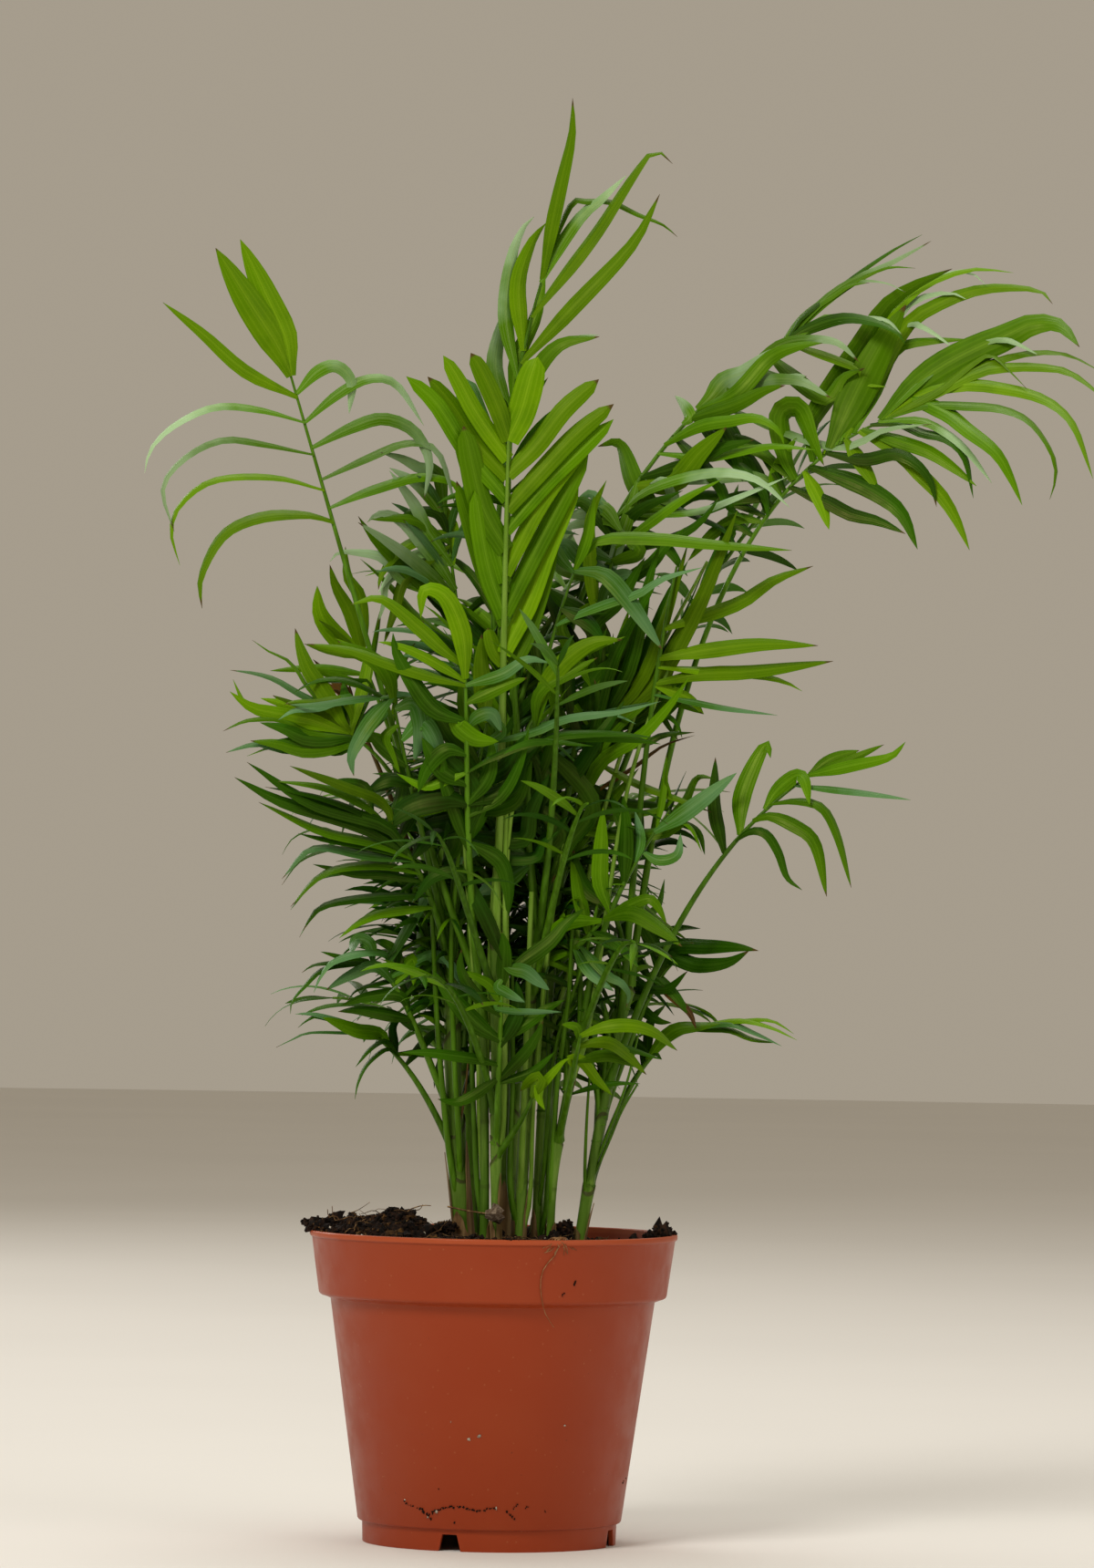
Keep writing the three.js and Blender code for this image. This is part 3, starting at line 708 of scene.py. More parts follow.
@dataclass(frozen=True)
class EarthFinish:
    """Compost and its crumbs, or any other dull rough stuff."""

    name: str
    dark: int
    light: int
    grain: float
    age: int = 0x706058

    def make(self) -> Material:
        """Lays all its coats.

        Returns:
            The material.
        """
        paint = Paint(self.name, self.dark, Roughness=0.95, Specular_IOR_Level=0.2)
        paint.coat(paint.ramp(paint.cloud(self.grain, 6), 0.4, 0.7), self.light)
        paint.vary(self.age, 0.6)
        paint.relief(paint.cloud(self.grain / 2, 6), 0.5)
        return paint.finish()


EARTH = EarthFinish("compost", 0x100905, 0x342012, 1.6)
PEAT = EarthFinish("peat", 0x2E1C0C, 0x644722, 1.6)
SEED = EarthFinish("old_seed", 0x5A4A3A, 0x8A7A68, 1.2)
FIBRE = EarthFinish("fibre", 0x563C24, 0x9A7A50, 2.0)
GRIT = EarthFinish("grit", 0xA89C88, 0xD8D0C0, 1.0)
FRESH = EarthFinish("hair_root", 0x8A5E3A, 0xB08A60, 2.0)


@dataclass(frozen=True)
class StageFinish:
    """Pale matt floor."""

    shade: int = 0xE6E3DE
    patch: int = 0xDAD7D2

    def make(self) -> Material:
        """Lays all its coats.

        Returns:
            The material.
        """
        paint = Paint("stage_floor", self.shade, Roughness=0.9, Specular_IOR_Level=0.1)
        paint.coat(paint.ramp(paint.cloud(400), 0.3, 0.7, 0.0, 0.2), self.patch)
        return paint.finish()


def settle(piece: Piece, slot: str, *nodes: str) -> None:
    """Fixes a finished piece to the plant.

    Args:
        piece: The piece.
        slot: Not used; material slot of the record.
        nodes: Solids that it stands for.
    """
    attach(piece, "root")
    if nodes:
        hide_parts(*nodes)
    log.info("%s: %d faces", piece.name, len(piece.data.polygons))


# ---------------------------------------------------------------- pot


@dataclass
class Pot:
    """Round nursery pot: lip ring, stepped collar, tapered body and a foot ring with slots."""

    segments: int = 144
    rim: float = 60.0
    height: float = 101.0
    lip: float = 2.0
    collar_top: float = 59.3
    collar_foot: float = 56.8
    collar_bottom: float = 80.0
    collar_round: float = 1.3
    shoulder: float = 52.9
    body_foot: float = 43.0
    foot_ring: float = 41.3
    foot_height: float = 7.0
    wall: float = 1.5
    floor_bottom: float = 6.3
    floor_top: float = 8.0
    pad: float = 10.0
    slots: int = 4
    slot_turn: float = -17.6
    slot_foot: float = 8.0
    slot_top: float = 4.9
    slot_height: float = 5.4
    holes: int = 8
    hole_radius: float = 3.0
    hole_circle: float = 27.0
    cut_depth: float = 8.0
    edge_round: float = 0.2
    finish: PotFinish = field(default_factory=PotFinish)

    def outline(self) -> list[Spot]:
        """Outline from the middle of the underside, over the rim, to the middle of the floor.

        Returns:
            Radius and height of each corner.
        """
        wall, inner_foot, lip_foot = self.wall, self.foot_ring - self.wall, self.height - self.lip
        corner = [(self.collar_foot - self.collar_round * (1 - math.sin(a)),
                   self.collar_bottom + self.collar_round * (1 - math.cos(a)))
                  for a in np.linspace(0, math.pi / 2, 5)]
        return [
            (0, 0), (self.pad, 0), (self.pad + 0.3, self.floor_bottom),
            (inner_foot, self.floor_bottom), (inner_foot, 0), (self.foot_ring, 0),
            (self.foot_ring + 0.2, self.foot_height), (self.body_foot - 0.4, self.foot_height + 0.1),
            (self.body_foot, self.foot_height + 0.6), (self.shoulder, self.collar_bottom - 1),
            *corner, (self.collar_top, lip_foot), (self.rim - 0.3, lip_foot + 0.1),
            (self.rim, lip_foot + 0.5), (self.rim, self.height - 0.3), (self.rim - 0.4, self.height),
            (self.collar_top - wall + 0.3, self.height), (self.collar_top - wall, self.height - 0.3),
            (self.collar_foot - wall, self.collar_bottom + wall),
            (self.shoulder - wall, self.collar_bottom - 1), (self.body_foot - wall, self.floor_top),
            (0, self.floor_top),
        ]

    def turn_outline(self) -> Piece:
        """Turns the outline about the axis.

        Returns:
            The closed body.
        """
        bm = bmesh.new()
        verts = [bm.verts.new((r * MM, 0, z * MM)) for r, z in self.outline()]
        edges = [bm.edges.new(pair) for pair in zip(verts, verts[1:])]
        bmesh.ops.spin(bm, geom=verts + edges, cent=(0, 0, 0), axis=(0, 0, 1), angle=2 * math.pi,
                       steps=self.segments, use_merge=True)
        bmesh.ops.remove_doubles(bm, verts=bm.verts, dist=1e-6)
        bmesh.ops.recalc_face_normals(bm, faces=bm.faces)
        return show("pot", mesh_of(bm, "pot"))

    def add_slot_cutter(self, bm: bmesh.types.BMesh, angle: float) -> None:
        """Adds the wedge for one slot of the foot ring.

        Args:
            bm: Mesh that it joins.
            angle: Where the slot is, in radians from the front.
        """
        turn = Matrix.Rotation(angle, 4, "Z")
        low, high = self.slot_foot / 2, self.slot_top / 2
        wedge = [(-low, -1), (low, -1), (high, self.slot_height), (-high, self.slot_height)]
        inner, outer = ([bm.verts.new(turn @ Vector((x * MM, -y * MM, z * MM))) for x, z in wedge]
                        for y in (self.foot_ring - self.cut_depth / 2, self.foot_ring + self.cut_depth / 2))
        bm.faces.new(inner[::-1])
        bm.faces.new(outer)
        for a in range(4):
            b = (a + 1) % 4
            bm.faces.new((inner[a], inner[b], outer[b], outer[a]))

    def cutters(self) -> Piece:
        """Makes wedges for the slots of the foot ring and pegs for the drain holes.

        Returns:
            All of them in one object.
        """
        bm = bmesh.new()
        for i in range(self.slots):
            self.add_slot_cutter(bm, math.radians(self.slot_turn) + 2 * math.pi * i / self.slots)
        radius = self.hole_radius * MM
        for i in range(self.holes):
            angle = 2 * math.pi * (i + 0.5) / self.holes
            spot = Vector((-self.hole_circle * math.sin(angle), self.hole_circle * math.cos(angle),
                           self.floor_top)) * MM
            bmesh.ops.create_cone(bm, cap_ends=True, segments=24, radius1=radius, radius2=radius,
                                  depth=4 * self.wall * MM, matrix=Matrix.Translation(spot))
        bmesh.ops.recalc_face_normals(bm, faces=bm.faces)
        return show("pot_cutters", mesh_of(bm, "pot_cutters"))

    def build(self) -> None:
        """Makes the pot with its slots, holes and softened edges."""
        piece, cutters = self.turn_outline(), self.cutters()
        cut = piece.modifiers.new("cut", "BOOLEAN")
        cut.operation, cut.solver, cut.object = "DIFFERENCE", "EXACT", cutters
        soften = piece.modifiers.new("soften", "BEVEL")
        soften.width, soften.segments, soften.angle_limit = self.edge_round * MM, 2, math.radians(35)
        mesh = bpy.data.meshes.new_from_object(piece.evaluated_get(bpy.context.evaluated_depsgraph_get()))
        piece.modifiers.clear()
        piece.data = mesh
        bpy.data.objects.remove(cutters)
        mesh.materials.clear()
        mesh.materials.append(self.finish.make())
        smooth(mesh, 40)
        settle(piece, "pot", "pot")


# ---------------------------------------------------------------- compost


@dataclass
class Compost:
    """Lumpy compost in the pot, with crumbs, fibres, grit, dried mud and hair roots over the rim."""

    pot: Pot
    rings: int = 46
    sectors: int = 150
    lump: float = 9.0
    rough: float = 1.9
    ridged: float = 0.8
    sunk_wall: float = 3.2
    sunk_right: float = 2.2
    crumbs: int = 3000
    bits: int = 34
    fibres: int = 190
    grains: int = 46
    tufts: int = 14
    seed: int = 11
    # Heaps of the surface: x, y, height and width.
    heaps: tuple[tuple[float, float, float, float], ...] = (
        (-31, -8, 8.5, 11), (-48, -18, 4, 9), (-44, 14, 5, 12), (20, 24, 2.5, 12), (48, 8, 3, 7),
    )
    # Clods, each stuck over with small bits: x, y, height and radius.
    clods: tuple[tuple[float, float, float, float], ...] = (
        (-59, -6, 103, 2.4), (-56.5, -12, 102.6, 2.2), (-57, 2, 103.4, 2.6), (-54, -18, 102, 1.8),
        (-61.5, -4, 103.6, 1.0), (-49, -25, 101.8, 1.6), (-52, 8, 104, 3), (-46, -20, 102.5, 2.2),
        (-37, -28, 101.5, 2), (54.5, -12, 103.2, 3.7), (56, -8, 101.8, 1.7), (50.5, -15, 101.6, 1.5),
        (58.5, -3, 101.4, 0.9), (5.5, -58.2, 101.2, 1.2), (8, -58, 101, 0.8), (22, -8, 103, 3.0),
        (19.5, -16, 101, 1.8), (-14, -14, 103.5, 2.2), (-17, -10, 103, 2.2), (24, -3, 104, 1.8),
        (-30, -9, 107, 2.0), (-34, -12, 105, 2.4), (-25, -10, 104.5, 2.0), (-39, -16, 103, 2.0),
    )
    # Old seed on the compost: its middle and radius.
    old_seed: tuple[Point, float] = ((0.6, -24, 107.8), 3.4)
    # Twig that lies across the compost.
    twig: tuple[Point, ...] = ((-15, -13, 109.5), (-9, -16, 108.4), (-3, -20, 107.8), (-1, -21, 107.6))
    # Grit that sticks to the front of the pot: x, height and radius.
    stuck_grit: tuple[Point, ...] = (
        (24, 41, 0.35), (-3.4, 37.6, 0.5), (-6.6, 36.6, 0.5), (-12.5, 42, 0.25), (-16.8, 12.8, 0.6),
        (2.4, 14.4, 0.45), (-19.5, 10.9, 0.35), (-27, 16, 0.25),
    )
    # Lines of dried mud on the front of the pot: x and height.
    mud: tuple[tuple[Spot, ...], ...] = (
        ((-27.1, 15.7), (-25.9, 14.4), (-24.1, 13.9)),
        ((-22.9, 13.8), (-20.9, 12.7), (-19.3, 11.3), (-18.3, 9.9)),
        ((-19.3, 11.3), (-16.9, 13.2), (-14.4, 14), (-12, 14.6), (-9, 14.7), (-6, 13.9)),
        ((-6, 13.9), (-3.5, 13.5), (-1.5, 13.6), (0.9, 14.4), (2.4, 14.6)),
        ((5.7, 13.6), (7, 12.3), (8.2, 10.8)), ((8.1, 14.4), (9.6, 15.9)), ((11.4, 15), (12.6, 14.8)),
        ((18, 13), (18.6, 13.8)), ((43.5, 20.9), (44.1, 22.1)), ((-16, 20.2), (-16.2, 20)),
        ((26.4, 86.6), (26.7, 88.2)), ((26.2, 86.2), (26.5, 87.6)), ((22.8, 83.2), (23, 84.2)),
        ((22.7, 83), (22.8, 84)), ((-10.9, 9.6), (-10.7, 9.5)),
    )
    # Hair roots that hang over the front of the rim: x and height.
    roots: tuple[tuple[Spot, ...], ...] = (
        ((18, 99.5), (21, 101.8), (20.5, 97), (16.5, 92), (15.5, 86), (17, 78), (20, 73)),
        ((17, 100), (20, 101.6), (23.5, 99), (24, 96.5)), ((19, 100), (21, 101.9), (19, 98), (16.5, 97)),
    )

    @property
    def edge(self) -> float:
        """Radius of the compost where it meets the wall."""
        return self.pot.collar_top - self.pot.wall - 0.45

    def height_at(self, x: float, y: float) -> float:
        """Height of the surface, which is heaped on the left and sunk at the wall and on the right.

        Args:
            x: Place across.
            y: Place to the back.

        Returns:
            The height over the ground.
        """
        heap = sum(high * math.exp(-((x - mid_x) ** 2 + (y - mid_y) ** 2) / wide**2)
                   for mid_x, mid_y, high, wide in self.heaps)
        spot = Vector((x / self.lump, y / self.lump, 3.1))
        heap *= 1 + 0.35 * noise.noise(spot * 2)
        rough = self.rough * noise.fractal(spot, 0.9, 2.1, 5) + self.ridged * abs(noise.noise(spot * 4.3))
        drop = self.sunk_wall * fade(math.hypot(x, y), 0.72 * self.edge, self.edge) * (x > -20)
        return SOIL_LEVEL + heap + rough - drop - self.sunk_right * fade(x, 14, 34)

    def build_bed(self) -> None:
        """Makes the body of the compost down to the floor of the pot."""
        pot, skin, turn = self.pot, Skin(), round_turn(self.sectors)
        clear, low = pot.wall + 0.4, pot.floor_top + 0.3
        walls = [(0.5, low), (pot.body_foot - clear, low), (pot.shoulder - clear, pot.collar_bottom + 1),
                 (pot.collar_foot - clear, pot.collar_bottom + 3)]
        rows = [np.stack([r * np.cos(turn), r * np.sin(turn), np.full(self.sectors, z)], 1)
                for r, z in walls]
        for radius in self.edge * np.linspace(1, 0.01, self.rings) ** 0.8:
            x, y = radius * np.cos(turn), radius * np.sin(turn)
            rows.append(np.stack([x, y, [self.height_at(*spot) for spot in zip(x, y)]], 1))
        skin.add(np.array(rows), np.linspace(0, 1, len(rows)))
        settle(skin.make("soil_bed", [EARTH.make()]), "soil", "soil")

    def spot(self, rng: random.Random) -> Point:
        """Picks a place on the surface, more often on the left heap.

        Args:
            rng: Source of the place.

        Returns:
            The place.
        """
        if rng.random() < 0.35:
            x, y = rng.gauss(-36, 11), rng.gauss(-8, 15)
        else:
            radius, angle = self.edge * math.sqrt(rng.random()), rng.uniform(0, 2 * math.pi)
            x, y = radius * math.cos(angle), radius * math.sin(angle)
        reach = math.hypot(x, y) / (self.edge - 1)
        if reach > 1:
            x, y = x / reach, y / reach
        return x, y, self.height_at(x, y)

    def on_pot(self, x: float, z: float) -> Point:
        """Finds a point on the front of the pot's body or collar.

        Args:
            x: Its place across.
            z: Its height.

        Returns:
            The point.
        """
        pot = self.pot
        heights = [pot.foot_height, pot.collar_bottom, pot.collar_bottom + 0.01, pot.height]
        outer = float(np.interp(z, heights, [pot.body_foot, pot.shoulder, pot.collar_foot, pot.collar_top]))
        return x, -math.sqrt(outer**2 - x**2) - 0.05, z

    def over_rim(self, x: float, z: float) -> Point:
        """Finds a point just off the front of the collar and rim, or just inside the rim above it.

        Args:
            x: Its place across.
            z: Its height.

        Returns:
            The point.
        """
        pot = self.pot
        if z > pot.height - pot.lip - 0.5:
            radius = pot.rim + 0.35 if z < pot.height + 0.3 else pot.rim - 1.2
        else:
            radius = np.interp(z, [pot.collar_bottom - 6, pot.collar_bottom, pot.height],
                               [pot.collar_foot - 1.5, pot.collar_foot + 0.4, pot.collar_top + 0.4])
        return x, -math.sqrt(radius**2 - x**2), z

    def add_crumb(self, skin: Skin, middle: Point, size: float, rng: random.Random, slot: int = 0) -> None:
        """Adds one uneven crumb.

        Args:
            skin: Mesh that it joins.
            middle: Its middle.
            size: Its radius.
            rng: Source of its shape.
            slot: Number of its material.
        """
        rise, turn = np.linspace(-0.95, 0.95, 4), round_turn(6)
        band = np.sqrt(1 - rise**2)[:, None]
        ball = np.stack([band * np.cos(turn), band * np.sin(turn), np.repeat(rise[:, None], 6, 1)], -1)
        lumps = 1 + np.array([[rng.uniform(-0.4, 0.4) for _ in turn] for _ in rise])[..., None]
        stretch = np.array([rng.uniform(0.7, 1.35) for _ in range(3)])
        tilt = np.array(Matrix.Rotation(rng.uniform(0, 3), 3, Vector((rng.random(), rng.random(), 1))))
        rings = (ball * lumps * stretch * size) @ tilt.T + np.array(middle)
        skin.add(rings, np.linspace(0, 1, len(rise)), slot, rng.random())

    def add_clod(self, skin: Skin, middle: np.ndarray, size: float, rng: random.Random) -> None:
        """Adds one clod with small bits stuck all over it.

        Args:
            skin: Mesh that it joins.
            middle: Its middle.
            size: Its radius.
            rng: Source of its shape.
        """
        self.add_crumb(skin, middle, size, rng)
        for _ in range(self.bits):
            out = unit(np.array([rng.gauss(0, 1) for _ in range(3)])) * size * rng.uniform(0.7, 1.25)
            self.add_crumb(skin, middle + out * (1, 1, 0.85), rng.uniform(0.25, 0.6), rng,
                           int(rng.random() < 0.25))

    def build_crumbs(self) -> None:
        """Makes the loose crumbs and clods, with a few on the rim."""
        rng, skin = random.Random(self.seed), Skin()
        for _ in range(self.crumbs):
            x, y, z = self.spot(rng)
            size = min(rng.lognormvariate(-0.6, 0.5), 2.0)
            self.add_crumb(skin, (x, y, z + 0.3 * size), size, rng, int(rng.random() < 0.2))
        for x, y, z, size in self.clods:
            self.add_clod(skin, np.array([x, y, z - 0.3 * size]), size, rng)
        self.add_crumb(skin, *self.old_seed, rng, 2)
        settle(skin.make("soil_crumbs", [EARTH.make(), PEAT.make(), SEED.make()], 35), "soil")

    def build_fibres(self) -> None:
        """Makes the fibres that lie in and stick out of the compost."""
        rng, skin = random.Random(self.seed + 1), Skin()
        add_tube(skin, smooth_route(self.twig, 12), np.linspace(0.3, 0.22, 12), 6, 0, 0.2)
        for _ in range(self.fibres):
            x, y, z = self.spot(rng)
            length, angle = rng.uniform(3, 12), rng.uniform(0, 2 * math.pi)
            step = np.array([math.cos(angle), math.sin(angle), rng.uniform(-0.1, 0.45)]) * length / 3
            wander = np.array([[rng.gauss(0, length * 0.09) for _ in range(3)] for _ in range(4)])
            points = np.array([x, y, z]) + np.arange(4)[:, None] * step + wander
            reach = np.hypot(points[:, 0], points[:, 1]) / (self.edge - 1)
            points[:, :2] /= np.maximum(reach, 1)[:, None]
            thick = rng.uniform(0.1, 0.28)
            add_tube(skin, smooth_route(points, 7), np.linspace(thick, thick * 0.5, 7), 5, 0, rng.random())
        settle(skin.make("soil_fibres", [FIBRE.make()]), "soil")

    def build_grit(self) -> None:
        """Makes the white grit, in the compost and stuck to the pot."""
        rng, skin = random.Random(self.seed + 2), Skin()
        for _ in range(self.grains):
            x, y, z = self.spot(rng)
            self.add_crumb(skin, (x, y, z + 0.4), rng.uniform(0.3, 0.8), rng)
        for x, z, size in self.stuck_grit:
            self.add_crumb(skin, self.on_pot(x, z), size, rng)
        settle(skin.make("soil_grit", [GRIT.make()]), "soil")

    def build_mud(self) -> None:
        """Makes the crumbs of dried mud that cling to the front of the pot."""
        rng, skin, stride = random.Random(self.seed + 4), Skin(), 0.55
        for route in self.mud:
            for start, end in zip(route, route[1:]):
                for share in np.arange(0, 1, stride / max(math.dist(start, end), stride)):
                    x, z = (a + (b - a) * share + rng.gauss(0, 0.16) for a, b in zip(start, end))
                    self.add_crumb(skin, self.on_pot(x, z), rng.uniform(0.14, 0.36), rng)
        settle(skin.make("pot_mud", [EARTH.make()]), "soil")

    def build_hair_roots(self) -> None:
        """Makes the tuft of hair roots that hangs over the front of the rim."""
        rng, skin = random.Random(self.seed + 3), Skin()
        tufts = [((19 + rng.uniform(-3, 3), 100), (21 + rng.uniform(-2, 3), 101.8),
                  (21 + rng.uniform(-6, 6), 99 - rng.uniform(0, 3))) for _ in range(self.tufts)]
        for route in (*self.roots, *tufts):
            points = np.array([self.over_rim(x, z) for x, z in route], float)
            points[0, 1] += 6
            add_tube(skin, smooth_route(points, 14), np.linspace(0.19, 0.09, 14), 5, 0, rng.random())
        settle(skin.make("rim_hair_roots", [FRESH.make()]), "soil")

    def build(self) -> None:
        """Makes the compost and all that lies on it."""
        self.build_bed()
        self.build_crumbs()
        self.build_fibres()
        self.build_grit()
        self.build_mud()
        self.build_hair_roots()


# ---------------------------------------------------------------- canes


@dataclass(frozen=True)
class Cane:
    """One cane: foot on the compost, the handle that bends it at half height, top, and its two radii."""

    name: str
    foot: Spot
    handle: Spot
    top: Point
    radii: Spot

    @property
    def curve(self) -> Curve:
        """Line of its middle, which starts a little way down in the compost."""
        middle = (CANE_FOOT + self.top[2]) / 2
        return Curve(((*self.foot, CANE_FOOT), (*self.handle, middle), self.top))

    def radius(self, share: float) -> float:
        """Radius at a share of its length, or at an array of them."""
        return self.radii[0] + (self.radii[1] - self.radii[0]) * share

    def build(self, finish: Material) -> None:
        """Makes the cane with a swelling at each ring scar.

        Args:
            finish: Its material.
        """
        share = np.linspace(0, 1, 90)
        path = self.curve.at(share)
        pitch = 17 + self.radii[0] * 2.5
        run = run_of(path) / pitch
        swell = np.exp(-((np.abs(run - np.round(run)) * pitch / 0.9) ** 2))
        skin, tint = Skin(), random.Random(self.name).random()
        add_tube(skin, path, self.radius(share) * (1 + 0.07 * swell), 18, 0, tint, pitch)
        settle(skin.make(self.name, [finish], 70), "cane", self.name)


CANES = {cane.name: cane for cane in (
    Cane("cane_left", (-9, -8), (-15, -9), (-15, -10, 192), (3.3, 2.1)),
    Cane("cane_left_thin", (-3, -17), (-3, -19), (-4.5, -21, 178), (1.6, 1.2)),
    Cane("cane_front", (1, -18), (0, -21), (-1, -25, 196), (1.5, 1.2)),
    Cane("cane_middle", (8, -10), (10, -11), (13, -13, 200), (2.2, 1.6)),
    Cane("cane_middle_right", (14, -2), (15, -3), (18, -4, 205), (1.9, 1.4)),
    Cane("cane_right_thin", (18.5, -12), (18, -14), (28, -16, 168), (1.35, 1.0)),
    Cane("cane_right", (27.5, -3), (34, -4), (43, -6, 182), (1.8, 1.35)),
    Cane("cane_core", (3, 0), (2, 0), (1, 1, 235), (2.6, 1.8)),
    Cane("cane_back_left", (-7, 10), (-10, 12), (-17, 18, 205), (2.4, 1.8)),
    Cane("cane_back", (3, 13), (2, 15), (-1, 22, 225), (2.7, 1.9)),
    Cane("cane_back_right", (14, 11), (17, 13), (27, 20, 215), (2.4, 1.8)),
    Cane("cane_far_back", (5, 26), (5, 33), (9, 48, 182), (2, 1.5)),
)}


# ---------------------------------------------------------------- fronds


@dataclass(frozen=True)
class View:
    """The camera: level with the lower leaves, far enough away to keep the plant's proportions."""

    distance: float = 2400.0
    height: float = 204.0
    aim: Point = (15.1, 0.0, 247.4)
    field: float = 512.2
    roll: float = 0.89
    sensor: float = 36.0

    def behind(self, x: float, y: float, z: float) -> Point:
        """Point at depth y that the camera sees in front of the spot x, z of the middle plane."""
        scale = (self.distance + y) / self.distance
        return self.aim[0] + (x - self.aim[0]) * scale, y, self.height + (z - self.height) * scale


VIEW = View()


@dataclass(frozen=True)
class Leaflet:
    """One listed leaflet, with its width and the spots it passes, as seen from the front."""

    width: float
    tone: Tone
    route: tuple[Spot, ...]


def leaf(width: float, tone: Tone, *route: float) -> Leaflet:
    """Short form for a listed leaflet.

    Args:
        width: Its largest width.
        tone: Its colour.
        route: x and height of its foot, then of each further spot that it passes.

    Returns:
        The leaflet.
    """
    return Leaflet(width, tone, tuple(zip(route[::2], route[1::2])))


@dataclass(frozen=True)
class Side:
    """Rule for the leaflets of one side of a rib, from its foot to its tip.

    The angles are from the rib, and the bends are how far the leaflets turn towards the ground.
    """

    longest: float
    foot_share: float
    tip_share: float
    foot_angle: float
    tip_angle: float
    foot_bend: float
    tip_bend: float

    def at(self, share: float) -> tuple[float, float, float]:
        """The leaflet at a share of the rib.

        Args:
            share: The share.

        Returns:
            Its length, and in radians its angle from the rib and its bend.
        """
        size = self.foot_share + (self.tip_share - self.foot_share) * share
        length = self.longest * (size + max(0.0, 1 - size) * math.sin(math.pi * share))
        angle = self.foot_angle + (self.tip_angle - self.foot_angle) * share**2
        bend = self.foot_bend + (self.tip_bend - self.foot_bend) * share
        return length, math.radians(angle), math.radians(bend)


